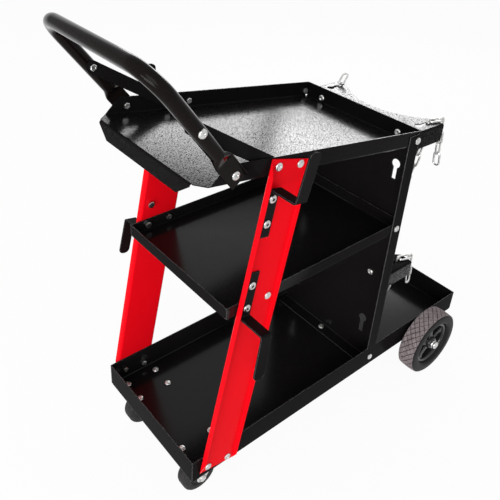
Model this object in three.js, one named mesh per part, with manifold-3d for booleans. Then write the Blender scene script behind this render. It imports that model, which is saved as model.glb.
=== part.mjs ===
// A three-tier welding cart with leaning legs, a tilted top tray, cable hooks and a gas cylinder platform.
// Millimetres, +Z up. +X points to the cylinder end, -X to the handle, +Y and -Y are the two sides.
import * as THREE from "three";
import { mergeVertices } from "three/addons/utils/BufferGeometryUtils.js";
import Module from "manifold-3d";

const wasm = await Module();
wasm.setup();

// Sheet stock and clearances
const SHEET = 1.5;
const PLATE = 2;
const STRIP = 2.5;
const BEND = 2;
const GAP = 0.3;
const HALF_WIDTH = 140;

// Lengths along X are drawn from near the middle of the bottom tray and moved to the middle of the cart
const CENTRE_SHIFT = 1.8;

// The three trays: ends along X, underside and wall height
const BOTTOM = { x0: -347, x1: 427, z: 85.2, height: 52.8 };
const MID = { x0: -289.6, x1: 134.2, z: 430.6, height: 25 };
const TOP = { rearX: 137.4, rearZ: 612.5, tilt: 8.66, length: 493, height: 30 };
const TOP_LIP = { halfWidth: 120, lowerHalfWidth: 94, drop: 23.5, flangeTip: 472, flangeTop: 448.5 };

// The back panel that ties the trays together behind the load
const PANEL = { x: 136.5, flange: 28, bottomZ: 87, topZ: 611, earZ: 639, bottomFlange: 27 };
const KEYHOLES = [
  { y: 104, z: 562, drop: 32 },
  { y: 97, z: 182, drop: 36 },
];
const KEYHOLE_RADIUS = 9;
const KEYHOLE_SLOT = 8;

// The legs lean with their tops towards the rear
const LEG = { x: -333.9, z: 103, lean: 10.5, length: 603.5, width: 80, front: 12, rear: 8, bend: 2.5 };
const LEG_CUT = { front: 30, rear: 12, top: 7.5 };
const LEG_ROWS = { front: 17, rear: 62 };
const LEG_BOLTS = { top: 590.5, middle: 359, bottom: 10 };

// Cable hooks: one bent strip, fitted with the lip up at the top and with the lip down below it
const HOOK = { from: 6, to: 28, stem: 82, reach: 57, lip: 80.5, flare: 3, bolts: [17, 58.5], round: 10.8 };
const HOOK_SHELF = { upper: 557.5, lower: 332.5 };

// The handle: a bent tube whose ends are pressed flat and bolted to the top tray
const HANDLE = { boltX: -290.5, boltZ: 692.5, rise: 52.5, reach: 212, halfSpan: 139, radius: 11, bend: 44 };
const HANDLE_TAB = { beyond: 15, flat: 45, round: 66, halfWidth: 16, halfThick: 1.5, side: 141.9 };
const BRACE = { along: 103, width: 20.5, flatLow: 22, flatHigh: 30 };

// Cylinder brackets with a round bite and keyhole slots for the safety chains
const BRACKET = { width: 131, depth: 84.5, drop: 34, frontDrop: 20, biteRadius: 130, bite: 35 };
const BRACKET_BOLT = { y: 95, drop: 10 };
const BRACKET_SLOT = { y: 110, hole: 7.5, holeX: 36, width: 7, endX: 77, linkX: 66 };
const UPPER_BRACKET = { x: 140.8, z: 632, tilt: 1.5, lean: TOP.tilt - 1.5 };
const LOWER_BRACKET = { x: 138.3, z: 314.5, tilt: 0, lean: 0 };

// Safety chains: each hangs as a loop from two upright links, and its free end lies over the bracket's edge
const LINK = { wire: 2, ring: 6, stretch: 8.5, bite: 0.25, sides: 4, steps: 8 };
const PITCH = 2 * (LINK.stretch + LINK.ring - LINK.wire);
const LINK_REACH = LINK.stretch + LINK.ring;
const LINK_CROSSING = 2 * LINK.wire - 3 * LINK.bite;
const UPRIGHT_LINK_Z = LINK.wire + GAP + LINK_CROSSING - LINK_REACH;
const TAIL_LEAN = 0.15;
const UPPER_CHAIN_LINKS = 23;
const LOWER_CHAIN_LINKS = 19;

// Wheels
const REAR_WHEEL = { x: 302.5, radius: 77, inner: 143.5, width: 43, seat: 52, axle: 6, boss: 18 };
const TREAD = { blocks: 15, depth: 2, length: 20, width: 11, row: 11.6 };
const CASTER = {
  x: -288, y: 95, radius: 35.5, width: 28, trail: 16, race: 5.6,
  plateX: 88, plateY: 66, boltX: 33.3, boltY: 22.5,
};

// Fasteners
const BOLT = { shank: 3, head: 6.6, headHeight: 3.6, nut: 5.8, nutHeight: 4.6, sides: 8, hole: 3.7 };

// Paint and metal
const FINISH = {
  black: { color: 0x17181a, roughness: 0.35, metalness: 0.2 },
  gloss: { color: 0x0c0c0d, roughness: 0.15, metalness: 0.2 },
  red: { color: 0xd8101c, roughness: 0.3, metalness: 0.15 },
  zinc: { color: 0xc4c5c3, roughness: 0.3, metalness: 0.9 },
  tyre: { color: 0x75716f, roughness: 0.85, metalness: 0 },
  hub: { color: 0x1b1c1d, roughness: 0.5, metalness: 0 },
};

const rad = THREE.MathUtils.degToRad;
const group = new THREE.Group();
group.name = "welding_cart";

// A closed geometry as a solid that can be cut and joined.
function solid(geometry) {
  const bare = geometry.index ? geometry.toNonIndexed() : geometry.clone();
  bare.deleteAttribute("normal");
  bare.deleteAttribute("uv");
  const merged = mergeVertices(bare, 1e-4);
  return new wasm.Manifold(
    new wasm.Mesh({
      numProp: 3,
      vertProperties: new Float32Array(merged.attributes.position.array),
      triVerts: new Uint32Array(merged.index.array),
    }),
  );
}

const join = (...solids) => wasm.Manifold.union(solids.flat());
const cut = (base, ...tools) => base.subtract(join(...tools));
const mirrored = (s) => s.mirror([0, 1, 0]);
const bothSides = (s) => join(s, mirrored(s));

// Adds one named piece to the cart.
function addPart(name, piece, finish) {
  const data = piece.translate([CENTRE_SHIFT, 0, 0]).getMesh();
  const geometry = new THREE.BufferGeometry();
  geometry.setAttribute("position", new THREE.BufferAttribute(new Float32Array(data.vertProperties), 3));
  geometry.setIndex(new THREE.BufferAttribute(new Uint32Array(data.triVerts), 1));
  const flat = geometry.toNonIndexed();
  flat.computeVertexNormals();
  const mesh = new THREE.Mesh(flat, new THREE.MeshStandardMaterial(FINISH[finish]));
  mesh.name = name;
  group.add(mesh);
}

// Adds a piece on the +Y side and its mirror image on the -Y side.
function addPair(name, piece, finish) {
  addPart(name + "_far", piece, finish);
  addPart(name + "_near", mirrored(piece), finish);
}

// An outline from [a, b] pairs or Vector2 points.
function outline(points) {
  return new THREE.Shape(points.map((p) => (p.isVector2 ? p : new THREE.Vector2(p[0], p[1]))));
}

function extruded(shape, depth, basis, shift) {
  const geometry = new THREE.ExtrudeGeometry(shape, { depth, bevelEnabled: false, curveSegments: 8 });
  geometry.applyMatrix4(new THREE.Matrix4().makeBasis(...basis));
  geometry.translate(shift.x, shift.y, shift.z);
  return solid(geometry);
}

const X = new THREE.Vector3(1, 0, 0);
const Y = new THREE.Vector3(0, 1, 0);
const Z = new THREE.Vector3(0, 0, 1);

// Prisms along one axis. Outlines are (y, z) along X, (x, z) along Y and (x, y) along Z.
const alongX = (shape, x0, x1) => extruded(shape, x1 - x0, [Y, Z, X], new THREE.Vector3(x0, 0, 0));
const alongY = (shape, y0, y1) =>
  extruded(shape, y1 - y0, [X, Z, Y.clone().negate()], new THREE.Vector3(0, y1, 0));
const alongZ = (shape, z0, z1) => extruded(shape, z1 - z0, [X, Y, Z], new THREE.Vector3(0, 0, z0));

const rectangle = (a0, a1, b0, b1) => outline([[a0, b0], [a1, b0], [a1, b1], [a0, b1]]);
const box = (x0, x1, y0, y1, z0, z1) => alongZ(rectangle(x0, x1, y0, y1), z0, z1);

// A round bar along an axis letter, centred on a point.
function bar(axis, centre, radius, length, sides = 12) {
  const geometry = new THREE.CylinderGeometry(radius, radius, length, sides);
  if (axis === "x") geometry.rotateZ(Math.PI / 2);
  if (axis === "z") geometry.rotateX(Math.PI / 2);
  geometry.translate(...centre);
  return solid(geometry);
}

// A body of revolution about the Y direction, from (radius, y) pairs.
function turned(profile, sides, centre = [0, 0, 0]) {
  const points = profile.map((p) => new THREE.Vector2(p[0], p[1]));
  const geometry = new THREE.LatheGeometry(points, sides);
  geometry.translate(...centre);
  const made = solid(geometry);
  if (made.volume() > 0) return made;
  return solid(new THREE.LatheGeometry(points.reverse(), sides).translate(...centre));
}

// The cut outline of a bent sheet whose middle line runs through the given points.
function bentSheet(points, thickness, bend = BEND, steps = 3) {
  const path = points.map((p) => new THREE.Vector2(p[0], p[1]));
  const middle = bend + thickness / 2;
  const left = [];
  const right = [];
  const lay = (point, normal) => {
    left.push(point.clone().addScaledVector(normal, thickness / 2));
    right.push(point.clone().addScaledVector(normal, -thickness / 2));
  };
  const heading = (i) => path[i + 1].clone().sub(path[i]).normalize();
  const side = (d) => new THREE.Vector2(-d.y, d.x);
  lay(path[0], side(heading(0)));
  for (let i = 1; i < path.length - 1; i++) {
    const before = heading(i - 1);
    const after = heading(i);
    const turn = Math.atan2(before.cross(after), before.dot(after));
    const back = middle * Math.tan(Math.abs(turn) / 2);
    const start = path[i].clone().addScaledVector(before, -back);
    const sign = Math.sign(turn);
    const centre = start.clone().addScaledVector(side(before), sign * middle);
    for (let k = 0; k <= steps; k++) {
      const normal = side(before).rotateAround(new THREE.Vector2(), (turn * k) / steps);
      lay(centre.clone().addScaledVector(normal, -sign * middle), normal);
    }
  }
  lay(path[path.length - 1], side(heading(path.length - 2)));
  return outline([...left, ...right.reverse()]);
}

// A tray folded from one sheet: side walls full length, end walls between them with open corner seams.
// bays lists places along X where the floor's flat areas end.
function foldedTray({ x0, x1, z, height }, ends, bays = []) {
  const half = SHEET / 2;
  const corner = BEND + SHEET;
  const w = HALF_WIDTH;
  const mid = w - half;
  const section = [[-mid, z + height], [-mid, z + half], [mid, z + half], [mid, z + height]];
  const stops = [x0 + corner, ...bays, x1 - corner];
  const pieces = stops.slice(1).map((stop, i) => alongX(bentSheet(section, SHEET), stops[i], stop));
  const wall = box(x0, x1, w - SHEET, w, z + corner, z + height);
  pieces.push(wall, mirrored(wall));
  for (const end of ends) {
    const outer = end > 0 ? x1 : x0;
    const face = outer - end * half;
    const foot = outer - end * (corner + 6);
    const fold = bentSheet([[face, z + height], [face, z + half], [foot, z + half]], SHEET);
    const reach = w - corner - 0.5;
    pieces.push(alongY(fold, -reach, reach));
    const inner = outer - end * SHEET;
    const span = w - SHEET - GAP;
    const [front, rear] = [Math.min(outer, inner), Math.max(outer, inner)];
    pieces.push(box(front, rear, -span, span, z + corner + 1, z + height));
  }
  return join(pieces);
}

// Frames that pieces are drawn in before they are set in place
function tilted(piece, degrees, x, z) {
  const turn = new THREE.Matrix4().makeRotationY(rad(degrees)).setPosition(x, 0, z);
  return piece.transform(turn.elements);
}
const legPoint = (across, up) => [
  LEG.x + across * Math.cos(rad(LEG.lean)) + up * Math.sin(rad(LEG.lean)),
  LEG.z - across * Math.sin(rad(LEG.lean)) + up * Math.cos(rad(LEG.lean)),
];
const topTrayPoint = (x, z) => [
  TOP.rearX + x * Math.cos(rad(TOP.tilt)) + z * Math.sin(rad(TOP.tilt)),
  TOP.rearZ - x * Math.sin(rad(TOP.tilt)) + z * Math.cos(rad(TOP.tilt)),
];
const bracketPoint = (bracket, x, z) => [
  bracket.x + x * Math.cos(rad(bracket.tilt)) + z * Math.sin(rad(bracket.tilt)),
  bracket.z - x * Math.sin(rad(bracket.tilt)) + z * Math.cos(rad(bracket.tilt)),
];

// Leg drawings have across on X, outward on Y and up the leg on Z.
const setLeg = (piece) => tilted(piece, LEG.lean, LEG.x, LEG.z).translate([0, HALF_WIDTH + GAP, 0]);

// Handle directions in the XZ plane, up the arms and across them
const ARM = [-Math.cos(rad(HANDLE.rise)), Math.sin(rad(HANDLE.rise))];
const armPoint = (along) => [HANDLE.boltX + ARM[0] * along, HANDLE.boltZ + ARM[1] * along];

// A pan head bolt with its nut, drawn with the head's seat at y = 0 and the shank along -Y.
function boltAndNut(grip) {
  const { shank, head, headHeight, nut, nutHeight, sides } = BOLT;
  const end = -grip - nutHeight / 2;
  const shoulder = [head - 0.9, headHeight - 1];
  const profile = [[0, end], [shank, end], [shank, 0], [head, 0], shoulder, [0, headHeight]];
  const body = turned(profile, sides);
  return join(body, bar("y", [0, -grip - nutHeight / 2, 0], nut, nutHeight, 6));
}

// Every fastener on the +Y side or on the middle line: seat point, head direction and clamped thickness
const LEG_FACE = HALF_WIDTH + GAP + PLATE;
const LEG_GRIP = PLATE + SHEET + 2 * GAP;
const PAIRED_BOLTS = [
  { name: "leg_top_front_bolt", at: [LEG_ROWS.front, LEG_BOLTS.top], grip: LEG_GRIP + PLATE + GAP },
  { name: "leg_top_rear_bolt", at: [LEG_ROWS.rear, LEG_BOLTS.top], grip: LEG_GRIP },
  { name: "leg_middle_bolt", at: [LEG_ROWS.rear, LEG_BOLTS.middle], grip: LEG_GRIP },
  { name: "leg_bottom_front_bolt", at: [LEG_ROWS.front, LEG_BOLTS.bottom], grip: LEG_GRIP },
  { name: "leg_bottom_rear_bolt", at: [LEG_ROWS.rear, LEG_BOLTS.bottom], grip: LEG_GRIP },
].map(({ name, at, grip }) => ({ name, grip, y: LEG_FACE, xz: legPoint(...at) }));
PAIRED_BOLTS.push(
  {
    name: "handle_tab_bolt",
    xz: armPoint(0),
    y: HANDLE_TAB.side + 1.5,
    grip: 2 * HANDLE_TAB.halfThick + SHEET + 2 * GAP,
  },
  {
    name: "handle_brace_bolt",
    xz: armPoint(BRACE.along),
    y: HANDLE.halfSpan + HANDLE.radius,
    grip: 2 * HANDLE.radius + PLATE + 2 * GAP,
  },
  { name: "panel_top_bolt", xz: [130.5, 626], y: HALF_WIDTH + GAP + SHEET, grip: 2 * SHEET + 2 * GAP },
  { name: "panel_middle_bolt", xz: [121, 443.5], y: HALF_WIDTH + GAP + SHEET, grip: 2 * SHEET + 2 * GAP },
  { name: "panel_foot_bolt", xz: [123.5, 110], y: HALF_WIDTH, grip: 2 * SHEET + 4 * GAP },
);
const hookBolts = [];
for (const [place, up] of [["upper", -1], ["lower", 1]])
  for (const d of HOOK.bolts)
    hookBolts.push({ place, xz: legPoint(LEG_ROWS.front, HOOK_SHELF[place] + up * d) });
const HOOK_SEAT = HALF_WIDTH + GAP + PLATE + GAP + STRIP;

// Holes for every fastener that runs across the cart
const crossHoles = [...PAIRED_BOLTS, ...hookBolts].map(({ xz }) =>
  bothSides(bar("y", [xz[0], HALF_WIDTH - 5, xz[1]], BOLT.hole, 60, 6)),
);
const bracketBolts = [];
for (const [place, bracket] of [["upper", UPPER_BRACKET], ["lower", LOWER_BRACKET]])
  for (const s of [1, -1]) {
    const shift = -BRACKET_BOLT.drop * Math.tan(rad(bracket.lean));
    bracketBolts.push({ place, s, bracket, xz: bracketPoint(bracket, shift, -BRACKET_BOLT.drop) });
  }
const bracketHoles = bracketBolts.map(({ s, xz }) =>
  bar("x", [xz[0], s * BRACKET_BOLT.y, xz[1]], BOLT.hole + 0.9, 30, 6),
);
const PANEL_FOOT = { x: PANEL.x - 12, z: PANEL.bottomZ + SHEET };
const footHole = bar("z", [PANEL_FOOT.x, 0, PANEL_FOOT.z], BOLT.hole, 20, 6);
const casterHoles = [];
for (const sx of [1, -1])
  for (const sy of [1, -1]) {
    const at = [CASTER.x + sx * CASTER.boltX, CASTER.y + sy * CASTER.boltY, BOTTOM.z];
    casterHoles.push(bar("z", at, BOLT.hole, 30, 6));
  }
const allCasterHoles = bothSides(join(casterHoles));

// The bottom floor's clear areas: for boxes behind the casters, and for the gas cylinder behind the panel
const BOTTOM_BAYS = [CASTER.x + 55, PANEL.x - PANEL.bottomFlange - 5, PANEL.x + 4];

// Bottom tray, with the ears that carry the axle folded from under its floor
function bottomTray() {
  const a = REAR_WHEEL;
  const ear = new THREE.Shape();
  ear.moveTo(a.x - 26, BOTTOM.z + 0.6);
  ear.lineTo(a.x - 13, a.radius - 4);
  ear.absarc(a.x, a.radius, 13.5, Math.PI * 1.08, Math.PI * 1.92, false);
  ear.lineTo(a.x + 26, BOTTOM.z + 0.6);
  const ears = alongY(ear, 116, 119);
  return cut(
    join(foldedTray(BOTTOM, [1, -1], BOTTOM_BAYS), bothSides(ears)),
    crossHoles,
    footHole,
    allCasterHoles,
    bar("y", [a.x, 0, a.radius], a.axle + GAP, 300, 16),
  );
}

// Top tray: one tilted floor with low walls, cut corners at the front and a nose lip folded down
function topTray() {
  const { length, height } = TOP;
  const lip = TOP_LIP;
  const half = SHEET / 2;
  const tray = foldedTray({ x0: -length, x1: 0, z: 0, height }, [1]);
  const corner = BEND + SHEET;
  const noseX = -length + half;
  const nose = bentSheet([[-length + corner + 6, half], [noseX, half], [noseX, -lip.drop]], SHEET);
  const lipOutline = outline([
    [-lip.halfWidth, 10],
    [-lip.halfWidth, -corner],
    [-lip.lowerHalfWidth, -lip.drop],
    [lip.lowerHalfWidth, -lip.drop],
    [lip.halfWidth, -corner],
    [lip.halfWidth, 10],
  ]);
  const lipPrism = alongX(lipOutline, -length - 5, -length + 20);
  const lipSolid = alongY(nose, -lip.halfWidth, lip.halfWidth).intersect(lipPrism);
  const beyond = -length - 20;
  const cornerCut = alongZ(
    outline([
      [-length, lip.halfWidth],
      [-lip.flangeTip, HALF_WIDTH],
      [-lip.flangeTip, 160],
      [beyond, 160],
      [beyond, lip.halfWidth],
    ]),
    -1,
    60,
  );
  const endCut = alongY(
    outline([[-lip.flangeTip, SHEET], [-lip.flangeTop, height + 1], [beyond, height + 1], [beyond, SHEET]]),
    HALF_WIDTH - corner - 1,
    HALF_WIDTH + 5,
  );
  const floorEnd = box(-length - 1, -length + corner, -160, 160, -1, SHEET + 1);
  const shaped = join(cut(tray, bothSides(cornerCut), bothSides(endCut), floorEnd), lipSolid);
  return cut(tilted(shaped, TOP.tilt, TOP.rearX, TOP.rearZ), crossHoles, bracketHoles);
}

// Back panel: a tall sheet with its side flanges and foot folded forward, and keyholes for hanging tools
function backPanel() {
  const p = PANEL;
  const half = SHEET / 2;
  const mid = p.x + half;
  const front = p.x - p.flange;
  const outer = HALF_WIDTH + GAP + half;
  const inner = HALF_WIDTH - SHEET - 2 * GAP - half;
  const lapZ = BOTTOM.z + BOTTOM.height;
  const pan = (y) => bentSheet([[front, -y], [mid, -y], [mid, y], [front, y]], SHEET);
  const upper = alongZ(pan(outer), lapZ + 1, p.topZ);
  const lower = alongZ(pan(inner), p.bottomZ + 12, lapZ - 1);
  const plate = box(p.x, p.x + SHEET, -inner + 4, inner - 4, p.bottomZ + 10, lapZ + 20);
  const ears = bothSides(box(front, p.x - BEND, outer - half, outer + half, p.topZ - 5, p.earZ));
  const foot = bentSheet(
    [[mid, p.bottomZ + 20], [mid, p.bottomZ + half], [p.x - p.bottomFlange, p.bottomZ + half]],
    SHEET,
  );
  const feet = alongY(foot, -inner + 12, inner - 12);
  const keyholes = KEYHOLES.map(({ y, z, drop }) =>
    bothSides(
      join(
        bar("x", [p.x, y, z], KEYHOLE_RADIUS, 10, 16),
        box(p.x - 5, p.x + 5, y - KEYHOLE_SLOT / 2, y + KEYHOLE_SLOT / 2, z - drop, z),
      ),
    ),
  );
  return cut(join(upper, lower, plate, ears, feet), crossHoles, bracketHoles, footHole, keyholes);
}

// A leg: a channel with the wide flange in front and a narrow one behind, both cut away at the ends
function leg() {
  const l = LEG;
  const half = PLATE / 2;
  const path = [[half, l.front], [half, half], [l.width - half, half], [l.width - half, l.rear]];
  const channel = alongZ(bentSheet(path, PLATE, l.bend, 4), 0, l.length);
  const reliefs = [];
  for (const [x0, x1, reach, width] of [
    [-1, PLATE + 3, LEG_CUT.front, l.front],
    [l.width - PLATE - 3, l.width + 1, LEG_CUT.rear, l.rear],
  ]) {
    const near = PLATE + 0.2;
    const far = width + 1;
    const end = l.length;
    const low = outline([[near, -1], [far, -1], [far, reach], [near, 0]]);
    const high = outline([[near, end], [far, end - reach], [far, end + 1], [near, end + 1]]);
    reliefs.push(alongX(low, x0, x1), alongX(high, x0, x1));
  }
  const rim = l.width + 1;
  const slope = [[-1, l.length], [rim, l.length - LEG_CUT.top], [rim, l.length + 5], [-1, l.length + 5]];
  const topCut = alongY(outline(slope), -1, l.front + 5);
  return cut(setLeg(cut(channel, reliefs, topCut)), crossHoles);
}

// A cable hook on the leg's web. up is 1 for a lip that points up the leg, -1 for one that points down.
function hook(place, up) {
  const h = HOOK;
  const shelf = HOOK_SHELF[place];
  const stand = PLATE + GAP + STRIP / 2;
  const flare = h.lip * Math.tan(rad(h.flare));
  const path = [
    [stand, shelf - up * h.stem],
    [stand, shelf],
    [h.reach, shelf],
    [h.reach + flare, shelf + up * h.lip],
  ];
  const strip = alongX(bentSheet(path, STRIP, 3, 4), h.from, h.to);
  const round = h.round;
  const tip = shelf + up * h.lip;
  const face = new THREE.Shape();
  face.moveTo(h.from, shelf - up * (h.stem + 5));
  face.lineTo(h.to, shelf - up * (h.stem + 5));
  face.lineTo(h.to, tip - up * round);
  face.quadraticCurveTo(h.to, tip, h.to - round, tip);
  face.lineTo(h.from + round, tip);
  face.quadraticCurveTo(h.from, tip, h.from, tip - up * round);
  const rounded = strip.intersect(alongY(face, -10, 90));
  const placed = setLeg(rounded);
  const inTray = (z) => z > MID.z && z < MID.z + MID.height;
  const bolts = hookBolts
    .filter((b) => b.place === place)
    .map(({ xz }) => {
      const wall = inTray(xz[1]) ? SHEET + GAP : 0;
      return boltAndNut(STRIP + PLATE + wall + 2 * GAP + 0.2).translate([xz[0], HOOK_SEAT - 0.1, xz[1]]);
    });
  return join(placed, bolts);
}

// The handle tube: round along the grip, pressed flat at both ends
function handleTube() {
  const h = HANDLE;
  const tab = HANDLE_TAB;
  const rings = [];
  const ringSides = 12;
  const across = new THREE.Vector3(-ARM[1], 0, ARM[0]).negate();
  const power = (c, p) => Math.sign(c) * Math.abs(c) ** p;
  // One ring: centre, direction of the flat's thickness, and how flat it is from 0 to 1
  const ring = (centre, outward, flat) => {
    const points = [];
    const a = THREE.MathUtils.lerp(h.radius, tab.halfWidth, flat);
    const b = THREE.MathUtils.lerp(h.radius, tab.halfThick, flat);
    const p = THREE.MathUtils.lerp(1, 0.35, flat);
    for (let i = 0; i < ringSides; i++) {
      const t = (2 * Math.PI * i) / ringSides;
      const point = centre.clone().addScaledVector(across, a * power(Math.cos(t), p));
      points.push(point.addScaledVector(outward, b * power(Math.sin(t), p)));
    }
    rings.push(points);
  };
  const arm = (along, y) => new THREE.Vector3(armPoint(along)[0], y, armPoint(along)[1]);
  const straight = [];
  for (const s of [-tab.beyond, tab.flat - tab.beyond]) straight.push([s, 1]);
  for (let k = 1; k <= 4; k++) {
    const share = k / 4;
    const along = tab.flat - tab.beyond + share * (tab.round - tab.flat);
    straight.push([along, (1 + Math.cos(Math.PI * share)) / 2]);
  }
  const endOf = (flat) => THREE.MathUtils.lerp(h.halfSpan, tab.side, flat);
  for (const [s, flat] of straight) ring(arm(s, endOf(flat)), Y, flat);
  const up = new THREE.Vector3(ARM[0], 0, ARM[1]);
  const bendSteps = 7;
  for (const s of [1, -1]) {
    for (let k = 0; k <= bendSteps; k++) {
      const t = ((s > 0 ? k : bendSteps - k) / bendSteps) * (Math.PI / 2);
      const spread = h.halfSpan - h.bend + h.bend * Math.cos(t);
      const centre = arm(h.reach - h.bend + h.bend * Math.sin(t), s * spread);
      const outward = Y.clone().multiplyScalar(s * Math.cos(t)).addScaledVector(up, Math.sin(t));
      ring(centre, outward, 0);
    }
  }
  for (const [s, flat] of straight.reverse()) ring(arm(s, -endOf(flat)), Y.clone().negate(), flat);
  const vertices = rings.flat().flatMap((v) => v.toArray());
  const faces = [];
  for (let r = 0; r + 1 < rings.length; r++)
    for (let i = 0; i < ringSides; i++) {
      const j = (i + 1) % ringSides;
      const a = r * ringSides;
      const b = a + ringSides;
      faces.push(a + i, a + j, b + j, a + i, b + j, b + i);
    }
  for (let i = 1; i + 1 < ringSides; i++) {
    faces.push(0, i + 1, i);
    const last = (rings.length - 1) * ringSides;
    faces.push(last, last + i, last + i + 1);
  }
  const geometry = new THREE.BufferGeometry();
  geometry.setAttribute("position", new THREE.Float32BufferAttribute(vertices, 3));
  geometry.setIndex(faces);
  let tube = solid(geometry);
  if (tube.volume() < 0) {
    for (let i = 0; i < faces.length; i += 3) [faces[i + 1], faces[i + 2]] = [faces[i + 2], faces[i + 1]];
    geometry.setIndex(faces);
    tube = solid(geometry);
  }
  return cut(tube, crossHoles);
}

// A flat brace from the top front leg bolt to the handle arm, set over to meet the tube's inner side
function handleBrace() {
  const low = legPoint(LEG_ROWS.front, LEG_BOLTS.top);
  const high = armPoint(BRACE.along);
  const run = [high[0] - low[0], high[1] - low[1]];
  const length = Math.hypot(...run);
  const end = BRACE.width / 2;
  const wallY = HALF_WIDTH - SHEET - GAP - PLATE / 2;
  const tubeY = HANDLE.halfSpan - HANDLE.radius - GAP - PLATE / 2;
  const bend = length - BRACE.flatHigh;
  const path = [[-end, wallY], [BRACE.flatLow, wallY], [bend, tubeY], [length + end, tubeY]];
  const strap = alongZ(bentSheet(path, PLATE, 4, 2), -end, end);
  const face = new THREE.Shape();
  face.absarc(length, 0, end, -Math.PI / 2, Math.PI / 2, false);
  face.absarc(0, 0, end, Math.PI / 2, (3 * Math.PI) / 2, false);
  const rounded = strap.intersect(alongY(face, 100, 160));
  const slope = Math.atan2(run[1], run[0]);
  const turn = new THREE.Matrix4().makeRotationY(-slope).setPosition(low[0], 0, low[1]);
  return cut(rounded.transform(turn.elements), crossHoles);
}

// A cylinder bracket: top plate with a round bite, folded sides and front, and two keyhole slots
function cylinderBracket(bracket) {
  const b = BRACKET;
  const half = PLATE / 2;
  const w = b.width;
  const section = [[-w + half, -b.drop], [-w + half, -half], [w - half, -half], [w - half, -b.drop]];
  const corner = BEND + PLATE;
  const top = alongX(bentSheet(section, PLATE), corner, b.depth);
  const lean = b.frontDrop * Math.tan(rad(bracket.lean));
  const fold = bentSheet([[half - lean, -b.frontDrop], [half, -half], [corner + 8, -half]], PLATE);
  const front = alongY(fold, -w + corner + 1, w - corner - 1);
  const bite = bar("z", [b.bite + b.biteRadius, 0, 0], b.biteRadius, 20, 64);
  const slot = BRACKET_SLOT;
  const keyhole = join(
    bar("z", [slot.holeX, slot.y, 0], slot.hole, 20, 16),
    box(slot.holeX, slot.endX - slot.width / 2, slot.y - slot.width / 2, slot.y + slot.width / 2, -10, 10),
    bar("z", [slot.endX - slot.width / 2, slot.y, 0], slot.width / 2, 20, 12),
  );
  const shaped = cut(join(top, front), bite, bothSides(keyhole));
  return cut(tilted(shaped, bracket.tilt, bracket.x, bracket.z), bracketHoles);
}

// One chain link: a torus pulled out along its length, then set along a direction with a given roll
function link(centre, along, flat) {
  const geometry = new THREE.TorusGeometry(LINK.ring, LINK.wire, LINK.sides, LINK.steps);
  const position = geometry.attributes.position;
  for (let i = 0; i < position.count; i++) {
    const x = position.getX(i);
    if (Math.abs(x) > 0.1) position.setX(i, x + Math.sign(x) * (LINK.stretch - LINK.bite / 2));
  }
  const a = along.clone().normalize();
  const c = flat.clone().addScaledVector(a, -flat.dot(a)).normalize();
  const b = c.clone().cross(a);
  geometry.applyMatrix4(new THREE.Matrix4().makeBasis(a, b, c));
  geometry.translate(centre.x, centre.y, centre.z);
  return solid(geometry);
}

// Height of a hanging chain above its lowest point: a catenary of size a
const chainHeight = (y, a) => a * (Math.cosh(y / a) - 1);

// Steps along the curve in chords of one pitch, starting half a pitch from the middle
function chainSteps(count, a) {
  const points = [new THREE.Vector2(PITCH / 2, chainHeight(PITCH / 2, a))];
  for (let i = 0; i < (count - 1) / 2; i++) {
    const from = points[points.length - 1];
    let low = from.x;
    let high = from.x + PITCH;
    for (let k = 0; k < 50; k++) {
      const y = (low + high) / 2;
      if (Math.hypot(y - from.x, chainHeight(y, a) - from.y) < PITCH) low = y;
      else high = y;
    }
    points.push(new THREE.Vector2(low, chainHeight(low, a)));
  }
  return points;
}

// Joint points of a chain hung between two level ends, below the line between them
function hangingPoints(count, halfSpan) {
  let small = 2;
  let large = halfSpan;
  for (let k = 0; k < 60; k++) {
    const a = (small + large) / 2;
    const steps = chainSteps(count, a);
    if (steps[steps.length - 1].y < chainHeight(halfSpan, a)) small = a;
    else large = a;
  }
  const drop = chainHeight(halfSpan, small);
  const right = chainSteps(count, small).map((p) => new THREE.Vector2(p.x, p.y - drop));
  const left = right.map((p) => new THREE.Vector2(-p.x, p.y)).reverse();
  return [...left, ...right];
}

// The loop of links that hangs between the two slots of a bracket and swings as one
function hangingChain(bracket, count) {
  const [seatX, uprightZ] = bracketPoint(bracket, BRACKET_SLOT.linkX, UPRIGHT_LINK_Z);
  const seatZ = uprightZ - PITCH / 2 + GAP;
  const points = hangingPoints(count, BRACKET_SLOT.y);
  const links = [];
  for (let i = 0; i < count; i++) {
    const p = points[i];
    const q = points[i + 1];
    const centre = new THREE.Vector3(seatX, (p.x + q.x) / 2, seatZ + (p.y + q.y) / 2);
    const along = new THREE.Vector3(0, q.x - p.x, q.y - p.y);
    const inPlane = i % 2 === 0;
    const flat = inPlane ? X : new THREE.Vector3(0, -along.z, along.y);
    links.push(link(centre, along, flat));
  }
  return join(links);
}

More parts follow.
